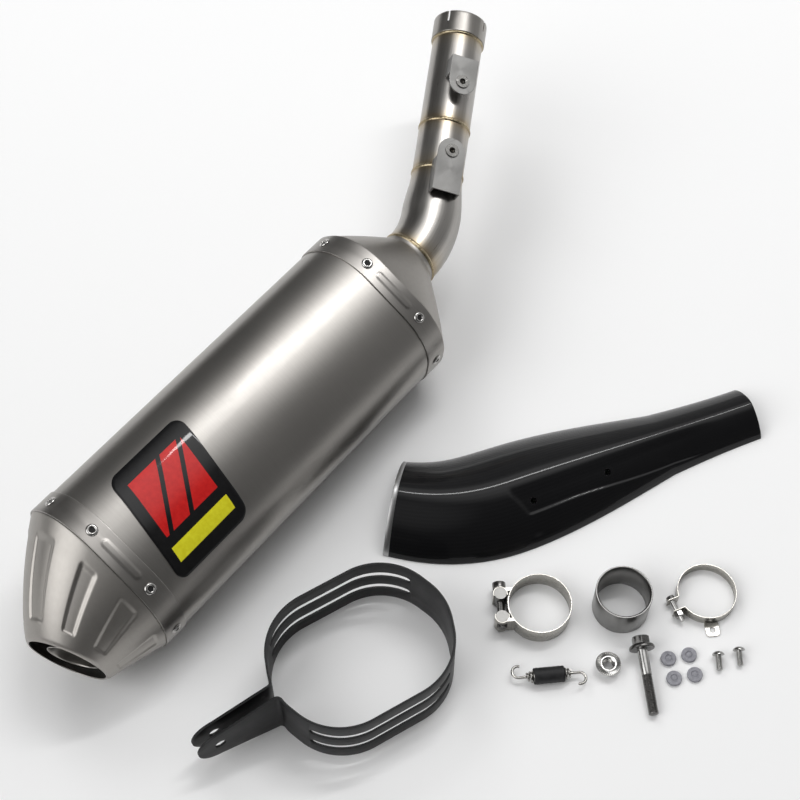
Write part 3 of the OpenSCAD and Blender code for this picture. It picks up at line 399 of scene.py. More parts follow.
class Mat(Nodes):
    """A node material with a principled shader."""

    def __init__(self, name, **sockets):
        self.m = bpy.data.materials.new(name)
        self.m.use_nodes = True
        super().__init__(self.m.node_tree)
        self.b = self.t.nodes["Principled BSDF"]
        self.feed(**sockets)

    def feed(self, **inputs):
        for key, x in inputs.items():
            self.put(self.b.inputs[key.replace("_", " ")], x)
        return self

    def coords(self, kind="Object", scale=(1, 1, 1), turn_z=0.0):
        vec = self.node("ShaderNodeTexCoord").outputs[kind]
        rotation = (0, 0, math.radians(turn_z))
        return self.node("ShaderNodeMapping", Vector=vec, Scale=scale, Rotation=rotation).outputs["Vector"]

    def xyz(self, scale, turn_z=0.0):
        """The UV as separate numbers, in units of 1 m / scale."""
        vec = self.coords("UV", (scale, scale, 1), turn_z)
        return self.node("ShaderNodeSeparateXYZ", Vector=vec).outputs

    def noise(self, scale, detail=4.0, rough=0.55, warp=0.0, vec=None):
        return self.node("ShaderNodeTexNoise", Vector=vec or self.coords(), Scale=scale, Detail=detail, Roughness=rough,
                         Distortion=warp).outputs["Fac"]

    def ramp(self, fac, *stops):
        r = self.node("ShaderNodeValToRGB", Fac=fac)
        e = r.color_ramp.elements
        while len(e) < len(stops):
            e.new(0.5)
        for el, (pos, col) in zip(e, stops):
            el.position = pos
            el.color = (*col, 1) if isinstance(col, tuple) else (col, col, col, 1)
        return r.outputs["Color"]

    def mix(self, fac, a, b):
        return self.node("ShaderNodeMix", {"data_type": "RGBA"}, Factor=fac, A=a, B=b).outputs["Result"]

    def span(self, fac, lo, hi, top=0.7):
        return self.ramp(fac, (0.3, lo), (top, hi))

    def bump(self, height, strength, dist):
        return self.node("ShaderNodeBump", Height=height, Strength=strength, Distance=dist).outputs["Normal"]

    def done(self, colour, rough, **more):
        return self.feed(Base_Color=colour, Roughness=rough, **more).m


def shade(colour, k):
    return tuple(min(1, c * k) for c in colour)


def satin(name, colour, rough, coord="UV", grain=(40, 1600, 1), depth=0.05, spread=0.1, wear=0.12, aniso=0.3,
          inner_shade=None):
    """Brushed or bead-blasted metal: stretched grain, cloudy gloss and faint handling marks.

    The last argument gives two places along UV y in millimetres, between which the metal turns dark and dull: painted
    shade deeper inside a hollow."""
    m = Mat(name, Metallic=1.0, Anisotropic=aniso)
    g = m.noise(1.0, 5, 0.6, vec=m.coords(coord, grain))
    cloud = m.noise(14, 4, 0.6, 0.3)
    marks = m.noise(170, 3, 0.7, 0.6)
    col = m.span(m.mix(0.35, g, cloud), shade(colour, 1 - wear), shade(colour, 1 + wear * 0.6), 0.72)
    r = m.ramp(m.mix(0.5, cloud, marks), (0.28, rough - spread * 0.5), (0.74, rough + spread * 0.5))
    # painted shade: deeper into a hollow the colour is painted dark brown-grey, and the metal is made duller
    if inner_shade:
        reach = inner_shade[1] - inner_shade[0]
        y = m.math("MULTIPLY_ADD", m.xyz(1000)[1], 1.0 / reach, -inner_shade[0] / reach)
        black = m.ramp(m.math("ADD", y, m.math("MULTIPLY_ADD", marks, 0.5, -0.25)), (0.0, 0.0), (1.0, 1.0))
        col = m.mix(black, col, (0.1, 0.085, 0.07))
        m.feed(Metallic=m.math("MULTIPLY_ADD", black, -0.75, 1.0))
        r = m.mix(black, r, (0.62, 0.62, 0.62))
    return m.done(col, r, Normal=m.bump(g, depth, 0.0004))


def pipe_metal(name, welds, colour):
    """Stainless tube with straw and brown heat tint that fades with the distance from each weld (UV y, mm)."""
    m = Mat(name, Metallic=1.0, Anisotropic=0.25)
    wobble = m.math("MULTIPLY", m.math("SUBTRACT", m.noise(60, 3), 0.5), 5.0)
    y = m.math("ADD", m.xyz(1000)[1], wobble)
    near = None
    for w in welds:
        d = m.math("ABSOLUTE", m.math("SUBTRACT", y, w))
        near = d if near is None else m.math("MINIMUM", near, d)
    heat = m.ramp(m.math("DIVIDE", near, 22.0), (0.0, (0.27, 0.19, 0.11)), (0.12, (0.35, 0.27, 0.165)),
                  (0.27, (0.37, 0.325, 0.255)), (0.6, (0.37, 0.345, 0.315)), (1.0, colour))
    g = m.noise(1.0, 5, 0.6, vec=m.coords("UV", (900, 30, 1)))
    cloud = m.noise(20, 4, 0.6, 0.3)
    col = m.mix(0.16, heat, m.span(g, 0.3, 0.75))
    r = m.span(m.mix(0.5, g, cloud), 0.25, 0.36, 0.72)
    return m.done(col, r, Normal=m.bump(g, 0.05, 0.0004))


def weld_metal():
    m = Mat("weld_bead", Metallic=1.0)
    n, big = m.noise(260, 3), m.noise(40, 2)
    col = m.ramp(m.mix(0.5, n, big), (0.3, (0.26, 0.2, 0.12)), (0.52, (0.4, 0.335, 0.22)), (0.72, (0.5, 0.45, 0.34)))
    return m.done(col, m.span(n, 0.22, 0.42), Normal=m.bump(n, 0.15, 0.0003))


def carbon():
    """Twill carbon weave under a clear coat, in UV millimetres."""
    m = Mat("carbon_twill", Metallic=0.0, IOR=1.5, Coat_Weight=0.7, Coat_Roughness=0.07, Coat_IOR=1.36,
            Specular_IOR_Level=0.06)
    tow = 1.1
    c = m.xyz(1000 / tow, 45)
    tows = m.math("ADD", m.math("FLOOR", c[0]), m.math("FLOOR", c[1]))
    over = m.math("LESS_THAN", m.math("FLOORED_MODULO", tows, 4.0), 2.0)
    arch_x, arch_y = (m.math("SINE", m.math("MULTIPLY", m.math("FRACT", c[k]), math.pi)) for k in (0, 1))
    under = m.math("SUBTRACT", 1.0, over)
    height = m.math("ADD", m.math("MULTIPLY", over, arch_x), m.math("MULTIPLY", under, arch_y))
    fine = m.noise(1.0, 2, vec=m.coords("UV", (9000, 700, 1), 45))
    tone = m.mix(0.3, height, fine)
    warp_c = m.ramp(tone, (0.1, (0.003, 0.003, 0.0033)), (0.95, (0.009, 0.009, 0.01)))
    weft_c = m.ramp(tone, (0.1, (0.0025, 0.0025, 0.0028)), (0.95, (0.0065, 0.0065, 0.0073)))
    r = m.mix(over, (0.5, 0.5, 0.5), (0.36, 0.36, 0.36))
    return m.done(m.mix(over, weft_c, warp_c), r, Normal=m.bump(height, 0.08, 0.0002))


def coated_black(name, colour):
    """Satin black powder coat: orange peel, thin rubbing on the surface."""
    m = Mat(name, Metallic=0.0, IOR=1.5, Specular_IOR_Level=0.26)
    peel, cloud = m.noise(900, 2), m.noise(30, 4, 0.6, 0.4)
    col = m.span(m.mix(0.4, cloud, peel), shade(colour, 0.75), shade(colour, 1.5), 0.75)
    return m.done(col, m.span(cloud, 0.4, 0.52, 0.72), Normal=m.bump(peel, 0.12, 0.0002))


def rubber():
    m = Mat("spring_rubber_black", Metallic=0.0, IOR=1.5, Specular_IOR_Level=0.4)
    n, cloud = m.noise(1400, 3), m.noise(180, 3)
    col = m.span(cloud, (0.006, 0.006, 0.007), (0.02, 0.02, 0.021), 0.75)
    return m.done(col, m.span(cloud, 0.5, 0.68, 0.72), Normal=m.bump(n, 0.2, 0.0002))


def felt():
    """Grey moulded washers with a mottled surface."""
    m = Mat("washer_grey", Metallic=0.0, IOR=1.45, Specular_IOR_Level=0.3)
    n, cloud = m.noise(1500, 4, 0.7), m.noise(420, 4, 0.65, 0.5)
    col = m.ramp(m.mix(0.4, cloud, n), (0.3, (0.2, 0.2, 0.22)), (0.55, (0.31, 0.31, 0.34)), (0.75, (0.42, 0.42, 0.46)))
    return m.done(col, m.span(n, 0.6, 0.8), Normal=m.bump(n, 0.35, 0.0003))


def plated(name, colour, rough):
    """Bright plated or turned steel with fine tool marks."""
    m = Mat(name, Metallic=1.0, Anisotropic=0.0)
    n = m.noise(300, 4, 0.65, 0.3)
    fine = m.noise(1500, 2, vec=m.coords("Object", (1, 1, 6)))
    col = m.span(n, shade(colour, 0.82), shade(colour, 1.08), 0.72)
    r = m.span(m.mix(0.5, n, fine), rough * 0.75, rough * 1.3, 0.72)
    return m.done(col, r, Normal=m.bump(fine, 0.05, 0.0002))


def wool():
    m = Mat("packing_wool", Metallic=0.0)
    n = m.noise(240, 6, 0.7, 1.5)
    col = m.span(n, (0.5, 0.48, 0.4), (0.8, 0.78, 0.7))
    return m.done(col, m.span(n, 0.8, 0.95), Normal=m.bump(n, 0.6, 0.001))


def badge_print():
    """Gloss black plate with a plain red block cut by two slanted gaps and a plain yellow bar, in UV millimetres."""
    m = Mat("badge_gloss", Metallic=0.0, IOR=1.5, Coat_Weight=0.75, Coat_Roughness=0.05, Coat_IOR=1.42,
            Specular_IOR_Level=0.1)
    c = m.xyz(1000)

    def inside(v, lo, hi):
        return m.math("MULTIPLY", m.math("GREATER_THAN", v, lo), m.math("LESS_THAN", v, hi))

    slant = m.math("ADD", c[1], m.math("MULTIPLY", c[0], 0.55))
    gap = m.math("ADD", inside(slant, 5.0, 9.5), inside(slant, -16.5, -12.0))
    block = m.math("MULTIPLY", inside(c[0], -33.0, 14.0), inside(c[1], -27.0, 27.0))
    red = m.math("MULTIPLY", block, m.math("SUBTRACT", 1.0, gap))
    bar = m.math("MULTIPLY", inside(c[0], 22.0, 34.0), inside(c[1], -29.0, 29.0))
    n = m.noise(260, 3)
    ink = m.span(n, (0.52, 0.008, 0.008), (0.62, 0.014, 0.012))
    paint = m.span(n, (0.74, 0.68, 0.015), (0.82, 0.78, 0.03))
    base = m.span(n, (0.003, 0.003, 0.0033), (0.006, 0.006, 0.0066))
    col = m.mix(bar, m.mix(red, base, ink), paint)
    return m.done(col, m.span(n, 0.28, 0.36))


# Near-black matte finish for discs of painted shade that stand in for the shadow inside holes
def painted_shade_black():
    m = Mat("painted_bore_shade", Metallic=0.0)
    n = m.noise(500, 2)
    col = m.span(n, (0.003, 0.003, 0.003), (0.009, 0.008, 0.008))
    return m.done(col, m.span(n, 0.6, 0.8))


CORE_TILT = math.degrees(math.asin((OUT_SHIFT - IN_SHIFT) / (NECK_AT - SEAM_OUT + OUT_L / 2)))
CORE_SPLIT = (NECK_AT - (SEAM_OUT + BAND_W + 0.05) - 1.0) / cosd(CORE_TILT)
TAIL_TUBE_L = OUT_L + BAND_W - 14
ELBOW_LEN = math.radians(ELBOW_BEND) * ELBOW_R
PIPE_WELDS = (0.0, ELBOW_LEN + TAIL, ELBOW_LEN + TAIL + MIDDLE, ELBOW_LEN + TAIL + MIDDLE + UPPER - COLLAR_LAP)
CAP_METAL = (0.37, 0.352, 0.33)
CAP_GRAIN = dict(grain=(260, 260, 1), depth=0.025, spread=0.08, wear=0.06, aniso=0.0)
sleeve_mat = satin("titanium_satin", (0.345, 0.33, 0.312), 0.35, grain=(30, 900, 1), depth=0.03, spread=0.06, wear=0.06)
cap_mat = satin("cap_satin", CAP_METAL, 0.42, **CAP_GRAIN)
# painted shade on the cap's inner wall, darker deeper inside the mouth
end_cap_mat = satin("end_cap_satin", CAP_METAL, 0.4, inner_shade=(OUT_L + 8, OUT_L + 60), **CAP_GRAIN)
band_mat = satin("band_satin", (0.34, 0.325, 0.308), 0.35, grain=(60, 900, 1), depth=0.035, spread=0.08, wear=0.08)
pipe_mat = pipe_metal("pipe_heat_tint", PIPE_WELDS, (0.33, 0.314, 0.293))
collar_mat = satin("collar_satin", (0.34, 0.325, 0.305), 0.34, grain=(900, 40, 1))
weld_mat = weld_metal()
bracket_mat = satin("bracket_satin", (0.26, 0.257, 0.25), 0.42, "Object", (90, 90, 500), 0.06)
insert_mat = plated("insert_zinc", (0.24, 0.235, 0.225), 0.25)
rivet_mat = plated("rivet_bright", (0.5, 0.49, 0.475), 0.2)
clamp_mat = satin("clamp_stainless", (0.38, 0.368, 0.34), 0.27, "Object", (120, 120, 900))
barrel_mat = plated("barrel_turned", (0.2, 0.197, 0.19), 0.34)
zinc_mat = plated("zinc_bright", (0.46, 0.456, 0.445), 0.2)
nut_mat = plated("nut_zinc", (0.62, 0.615, 0.6), 0.2)
dark_steel = plated("bolt_oiled", (0.16, 0.157, 0.153), 0.26)
wire_mat = plated("wire_bright", (0.4, 0.39, 0.37), 0.2)
sleeve_grey = satin("reducer_grey", (0.22, 0.217, 0.212), 0.3, "Object", (200, 200, 30), 0.06)
inner_mat = satin("inner_tube", (0.2, 0.195, 0.185), 0.42, "Object", (80, 80, 80), 0.08)
# painted shade in the tail tube's bore, darker deeper inside and clean near the rim
tail_mat = satin("tail_tube_inner_shade", (0.36, 0.345, 0.325), 0.3, grain=(300, 60, 1), aniso=0.0,
                 inner_shade=(TAIL_TUBE_L - 2.0, TAIL_TUBE_L - 22.0))
carbon_mat = carbon()
edge_mat = satin("laminate_edge", (0.42, 0.42, 0.42), 0.4, grain=(400, 40, 1), depth=0.1, aniso=0.0)
strap_mat = coated_black("strap_black", (0.009, 0.009, 0.0098))
pin_mat = coated_black("strap_pin_black", (0.016, 0.016, 0.017))
rubber_mat = rubber()
felt_mat = felt()
badge_mat = badge_print()
# painted shade for the rivet bores
bore_shade_mat = painted_shade_black()
wool_mat = wool()


# Muffler


def sleeve():
    path = [(SEAM_OUT + 0.4, -SLEEVE_WALL), (SEAM_OUT + 0.05, -0.6), (SEAM_OUT + 0.3, 0)]
    path += [(t, 0) for t in np.linspace(10, RIVET_SPAN - 10, 25)]
    path += [(SEAM_IN - 0.3, 0), (SEAM_IN - 0.05, -0.6), (SEAM_IN - 0.4, -SLEEVE_WALL)]
    rows = [ring_at(t, section(off)) for t, off in path]
    s = Shape().grid(rows, us=girth(section()), vs=[t for t, _ in path] + [0], wrap=True, loop=True)
    oval_shade(s.make("sleeve", sleeve_mat, "exhaust", "outer_sleeve", "titanium"))


def flute_depth(s_mm, total, v):
    """Sunk flutes round the outlet cap, at s_mm from the middle of the upper long face."""
    y = v * OUT_L
    deep = 0.0
    for c, half in FLUTES:
        x = (s_mm - c + total / 2) % total - total / 2
        cx = np.abs(x) - (half - FLUTE_R)
        cy = np.maximum(FLUTE_TOP + FLUTE_R - y, y - (FLUTE_BOTTOM - FLUTE_R))
        d = np.hypot(np.maximum(cx, 0), np.maximum(cy, 0)) + np.minimum(np.maximum(cx, cy), 0) - FLUTE_R
        deep = np.maximum(deep, (1.6 if c > 0 else 1.1) * ease(-d / FLUTE_WALL))
    return deep


def outlet_cap():
    fine = dict(arc=60, flat=40)
    base = section(0, **fine)
    around = girth(base)
    top = np.argmin(np.abs(base[:, 0]) + 1000 * (base[:, 1] < FACE_REACH - 0.5))
    from_top = around[:-1] - around[top] - base[top, 0]
    nrm = section_normals(base)

    def loop(v, inset, sunk):
        q = towards_oval(section(-inset, **fine), OUT_W - inset, OUT_H - inset, OUT_SHIFT, v)
        if sunk:
            q = q - nrm * flute_depth(from_top, around[-1], v)[:, None]
        slant = q[:, 0] * math.tan(math.radians(OUT_SLANT)) * v
        return ring_at(SEAM_OUT - OUT_L * v + slant + LIP_CUT * v * v * (q[:, 1] / OUT_H + 1) / 2, q)

    # each station: share of the cap's length, inset, and whether the flutes are sunk into it
    stations = [(0.0, 1.2, False), (0.0, 0.35, False), (0.006, 0.05, False)]
    stations += [(v, 0, True) for v in np.linspace(0.012, 0.95, 84)]
    stations += [(0.95 + 0.05 * sind(a), 1.7 * (1 - cosd(a)), False) for a in range(10, 91, 10)]
    stations += [(1 - 0.02 * (1 - cosd(a)), 1.7 + 0.9 * sind(a), False) for a in range(15, 91, 15)]
    lip = len(stations)
    stations += [(v, 2.6, False) for v in np.linspace(0.95, 0.04, 12)]
    rows = [loop(*station) for station in stations]
    vs = [OUT_L * v if k < lip else OUT_L * (2 - v) + 4 for k, (v, _, _) in enumerate(stations)]
    s = Shape().grid(rows, us=around, vs=vs + [0], wrap=True, loop=True)
    oval_shade(s.make("end_cap", end_cap_mat, "exhaust", "outlet_cap", "cap_metal", sharp=60), 0.7, OUT_SHIFT, OUT_L)


def tail_tube():
    """Inner tube in the mouth, with a rounded rim."""
    m = M_MUF @ move(IN_SHIFT, NECK_AT, 0) @ turn("z", CORE_TILT) @ move(0, -CORE_SPLIT, 0) @ turn("x", 90)
    end = TAIL_TUBE_L + 2.0
    prof = [(18.3, z) for z in np.linspace(0.3, end - 1.2, 30)]
    prof += [(18.36, end - 0.7), (18.55, end - 0.25), (18.9, end), (19.25, end - 0.2), (19.45, end - 0.6)]
    prof += [(19.5, z) for z in np.linspace(end - 1.2, 0.0, 12)]

    def slant(a, k):
        """The end lies along the slanted lip."""
        r, z = prof[k]
        back = r * math.cos(a) * math.tan(math.radians(OUT_SLANT)) + LIP_CUT * (r * math.sin(a) / OUT_H + 1) / 2
        return 0.0, -back * float(ease((z - 30) / (end - 30)))

    s = Shape().lathe(m, prof, 96, closed=True, wave=slant)
    s.make("tail_tube", tail_mat, "exhaust", "outlet_tube", "inner_tube", sharp=60)


def inlet_cap():
    fine = dict(arc=20, flat=16)

    def loop(v, inset):
        r, k = NECK_R - inset, (min(v, 0.9) / 0.9) ** 1.1
        return ring_at(SEAM_IN + IN_L * v, towards_oval(section(-inset, **fine), r, r, IN_SHIFT, k))

    rows = [loop(0, 1.2), loop(0, 0.3), loop(0.012, 0)]
    rows += [loop(v, 0) for v in np.linspace(0.03, 1.0, 34)]
    rows += [loop(v, 1.4) for v in np.linspace(1.0, 0.03, 12)]
    vs = np.linspace(0, IN_L * 2, len(rows) + 1)
    s = Shape().grid(rows, us=girth(section(0, **fine)), vs=vs, wrap=True, loop=True)
    s.make("neck_cap", cap_mat, "exhaust", "inlet_cap", "cap_metal", sharp=50)


def rib_height(p, t):
    """Height of a pressed obround rib."""
    d = np.hypot(np.maximum(np.abs(p) - (RIB_HALF - RIB_R), 0), t) - RIB_R
    return RIB_HEIGHT * ease(-d / RIB_WALL)


def band(t0, name, node):
    """End band with rolled edges and a pressed rib on both long faces."""
    fine = dict(arc=18, flat=60)
    base = section(0, **fine)
    nrm = section_normals(base)
    long_face = np.abs(base[:, 1]) > FACE_REACH - 0.6
    h = BAND_W / 2
    edge = [(-h, LAP), (-h, LAP + 0.7), (-h + 0.12, LAP + 0.92), (-h + 0.35, LAP + BAND_T)]
    path = edge + [(t, LAP + BAND_T) for t in np.linspace(-h + 0.8, h - 0.8, 45)]
    path += [(-t, off) for t, off in reversed(edge)]
    rows = []
    for t, off in path:
        q = section(off, **fine)
        if abs(t) < h - 0.6:
            q = q + nrm * (rib_height(base[:, 0], t) * long_face)[:, None]
        rows.append(ring_at(t0 + t, q))
    s = Shape().grid(rows, us=girth(base), vs=[t for t, _ in path] + [h + 1], wrap=True, loop=True)
    oval_shade(s.make(name, band_mat, "exhaust", node, "band_metal", sharp=50))


def rivet_frames(t):
    """Rivet places: on the arcs beside both long faces, and on each short face."""
    out = []
    for f in (0, 3):
        for side in (-1, 1):
            out.append(turn("y", -FACE_A[f]) @ move(FACE_REACH - CORNER_R, 0, side * min(FLAT_HALF, RIVET_OFFSET))
                       @ turn("y", -side * RIVET_TURN) @ move(CORNER_R, 0, 0))
    out += [turn("y", -FACE_A[f]) @ move(FACE_D[f], 0, 0) for f in (1, 2, 4, 5)]
    return [M_MUF @ move(0, t, 0) @ q @ move(LAP + BAND_T, 0, 0) @ turn("y", 90) for q in out]


def rivets(t, name, node):
    """Open blind rivets: a domed ring round the bore, with a near-black disc of painted shade set inside each bore."""
    s, dark = Shape(), Shape()
    prof = [(2.05, -1.6), (2.05, 0.55), (2.15, 0.95), (2.45, 1.25), (2.95, 1.38), (3.5, 1.3), (4.05, 1.02), (4.45, 0.6),
            (4.6, 0.22), (4.5, 0.1), (3.2, 0.08), (2.6, -1.6)]
    for m in rivet_frames(t):
        s.lathe(m, prof, 44, closed=True)
        # a near-black disc of painted shade inside each bore
        dark.lathe(m, [(2.06, 0.42), (1.2, 0.34), (0.0, 0.3)], 32)
    s.make(name, rivet_mat, "exhaust", node, "rivet", sharp=50)
    dark.make(name + "_bore_shade_discs", bore_shade_mat, "exhaust", (), "rivet")


def badge():
    """Plate bent over the long face, with rounded corners and a raised edge."""
    half_w, half_l, r = BADGE_W / 2, BADGE_L / 2, 9.0
    top = section(0.0, arc=60, flat=120)
    top = top[top[:, 1] > 20]
    top = top[np.argsort(top[:, 0])]
    pts = []
    for i, (sx, sy) in enumerate(((1, 1), (-1, 1), (-1, -1), (1, -1))):
        for k in range(13):
            a = 90 * i + 7.5 * k
            pts.append((sx * (half_w - r) + r * cosd(a), sy * (half_l - r) + r * sind(a)))
    # extra points along the straight sides keep the plate on the curve
    outline = []
    for p, q in zip(np.array(pts), np.roll(pts, -1, 0)):
        steps = max(1, int(np.linalg.norm(q - p) / 2.0))
        outline += [p + (q - p) * j / steps for j in range(steps)]
    rings = [(1.0, LAP), (1.0, 0.62), (0.996, 0.8), (0.988, 0.9)] + [(k, 0.9) for k in np.linspace(0.95, 0.03, 26)]
    rows, uvs = [], []
    for scale, off in rings:
        q = np.array(outline) * scale
        x = q[:, 0] + BADGE_SHIFT
        y = q[:, 1] + BADGE_SKEW * q[:, 0] + BADGE_AT
        rows.append(place(M_MUF, np.column_stack([x, y, np.interp(x, top[:, 0], top[:, 1]) + off])))
        uvs.append(q)
    s = Shape().grid(rows, wrap=True, uv=uvs).cap(rows[-1], uvs[-1]).cap(rows[0][::-1], uvs[0][::-1])
    oval_shade(s.make("badge", badge_mat, "exhaust", "badge_plate", "badge", sharp=50))


# Link pipe


def pipe():
    pts, rad = [], []
    for k in range(25):
        a = ELBOW_BEND * k / 24
        pts.append(place(M_NECK, [(ELBOW_R * (cosd(a) - 1), ELBOW_R * sind(a), 0)])[0])
        rad.append(NECK_R)
    for l in [*np.linspace(1.5, TAIL, 12), *np.linspace(TAIL + 3, TAIL + MIDDLE + UPPER, 34)]:
        pts.append(at_pipe(l)[:3, 3])
        rad.append(NECK_R + (PIPE_R - NECK_R) * float(ease(min(1.0, l / TAIL))))
    s = Shape().tube(pts, rad, 72, ends=False)
    s.tube(pts, np.array(rad) - PIPE_WALL, 72, ends=False)
    s.make("link_pipe", pipe_mat, "exhaust", ("pipe_elbow", "pipe_lower", "pipe_middle", "pipe_upper"), "pipe")


def weld(m, r, name, node, h=0.85, w=1.7):
    """A bead with overlapping ripples."""
    seg, ripples = 260, 46
    share = np.arange(seg) / seg
    half = [(w, 0.08), (w * 0.8, h * 0.5), (w * 0.4, h * 0.9)]
    rows = []
    for y, dr in [(-y, dr) for y, dr in half] + [(0, h)] + half[::-1]:
        phase = (share * ripples + 0.35 * (y / w) ** 2) % 1.0
        rows.append(circle(m @ turn("x", 90), r + dr * (0.84 + 0.16 * np.sin(math.pi * phase) ** 0.7), -y, seg))
    rows.append(circle(m @ turn("x", 90), r - 0.1, 0, seg))
    Shape().grid(rows, wrap=True, loop=True).make(name, weld_mat, "exhaust", node, "weld", sharp=70)


def collar():
    """Slotted socket with a rolled rim."""
    seg, r = 176, PIPE_R + LAP + COLLAR_WALL / 2
    ys = [0, 1.0, 2.0, COLLAR_LAP, COLLAR_LAP + 4.0, 12, 14, 16, 18, COLLAR_L]
    a = 2 * math.pi * np.arange(seg) / seg
    m = at_pipe(TAIL + MIDDLE + UPPER - COLLAR_LAP)
    rows = [place(m, np.column_stack([r * np.sin(a), np.full(seg, y), r * np.cos(a)])) for y in ys]
    step = seg // 4

    def keep(j, i):
        return not (j >= 4 and (i - step // 2) % step in (0, 1))

    s = Shape().grid(rows, us=np.linspace(0, 2 * math.pi * r, seg + 1), vs=ys + [0], wrap=True, keep=keep)
    s.make("socket_collar", collar_mat, "exhaust", "pipe_collar", "pipe", solid=COLLAR_WALL, bevel=0.35)


# Heat shield


def heading(u):
    return SHIELD_DIR + SHIELD_BEND * float(ease((u + 0.06) / 0.4))


def shield_mid(u, n=60):
    a = [heading(u * (k + 0.5) / n) for k in range(n)]
    return np.array(SHIELD) + np.array([sum(cosd(v) for v in a), sum(sind(v) for v in a)]) * SHIELD_L * u / n


def shield_pt(u, a, inset, c, d):
    """A point at the share u of the length and the angle a from the crest, for the middle c and the heading d."""
    w = SHIELD_W + SHIELD_BULGE * sind(180 * min(1, u * 1.35)) - inset
    w += (SHIELD_TIP_W - SHIELD_W) * float(ease((u - 0.2) / 0.8))
    h = SHIELD_H + (SHIELD_TIP_H - SHIELD_H) * float(ease((u - 0.3) / 0.7)) - inset
    crease = 37.0 + 24.0 * float(ease((u - 0.42) / 0.46))
    panel = ease((u - 0.291 - 0.0011 * (a - 19)) / 0.014) * ease((0.9 - u) / 0.14)
    sink = 1.7 * float(panel * ease((a - 6) / 16) * ease((crease + 2.0 - a) / 4.0))
    across = (w - sink * sind(abs(a))) * sind(a)
    fall = ((sind(a) ** 2 + CREST ** 2) ** 0.725 - CREST ** 1.45) / ((1 + CREST ** 2) ** 0.725 - CREST ** 1.45)
    up = (h - sink) * max(0.0, 1 - fall) ** 0.69
    return c[0] + across * sind(d), c[1] - across * cosd(d), up


def shield_row(u, angles, inset=0.0):
    c, d = shield_mid(u), heading(u)
    return np.array([shield_pt(max(0.0, u), a, inset, c, d) for a in angles])


def heat_shield():
    us = np.linspace(0, 1, 180)
    angles = [90 * math.copysign(abs(k) ** 1.3, k) for k in np.linspace(-1, 1, 191)]
    outer, inner = (np.array([shield_row(u, angles, inset) for u in us]) for inset in (0, SHIELD_T))
    across = run_length(outer[len(us) // 3])
    vs = us * SHIELD_L
    s = Shape().grid(outer, us=across, vs=vs).grid(inner, us=across, vs=vs)
    for k in (0, -1):
        s.grid([outer[k], inner[k]], us=across, vs=[0, SHIELD_T])
    for k in (0, -1):
        s.grid([outer[:, k], inner[:, k]], us=vs, vs=[0, SHIELD_T])
    cuts = []
    for l in (HOLE_AT, HOLE_AT + HOLE_PITCH):
        u = l / SHIELD_L
        p, lo, hi = shield_row(u, (HOLE_ROLL, HOLE_ROLL - 2, HOLE_ROLL + 2))
        n = np.cross(hi - lo, shield_row(u + 0.01, (HOLE_ROLL,))[0] - p)
        n = n / np.linalg.norm(n)
        if n[2] < 0:
            n = -n
        x = (hi - lo) / np.linalg.norm(hi - lo)
        f = np.eye(4)
        f[:3, 0], f[:3, 1], f[:3, 2], f[:3, 3] = x, np.cross(n, x), n, p
        cuts.append(drill(f, HOLE_R, 16))
    s.make("shield_shell", carbon_mat, "heat_shield", "heat_shield", "carbon", sharp=45, bevel=0.35, cuts=cuts)
    turn_in = [(0.012, -0.06), (0.0115, 0.16), (0.0015, 0.2), (-0.0006, 0.05), (-0.0009, -0.4),
               (-0.0009, -SHIELD_T + 0.3), (0.0, -SHIELD_T)]
    rim = Shape().grid([shield_row(u, angles, -off) for u, off in turn_in], us=across, vs=np.arange(8.0))
    rim.make("shield_end_edge", edge_mat, "heat_shield", (), "carbon", sharp=60)


# Mounting strap


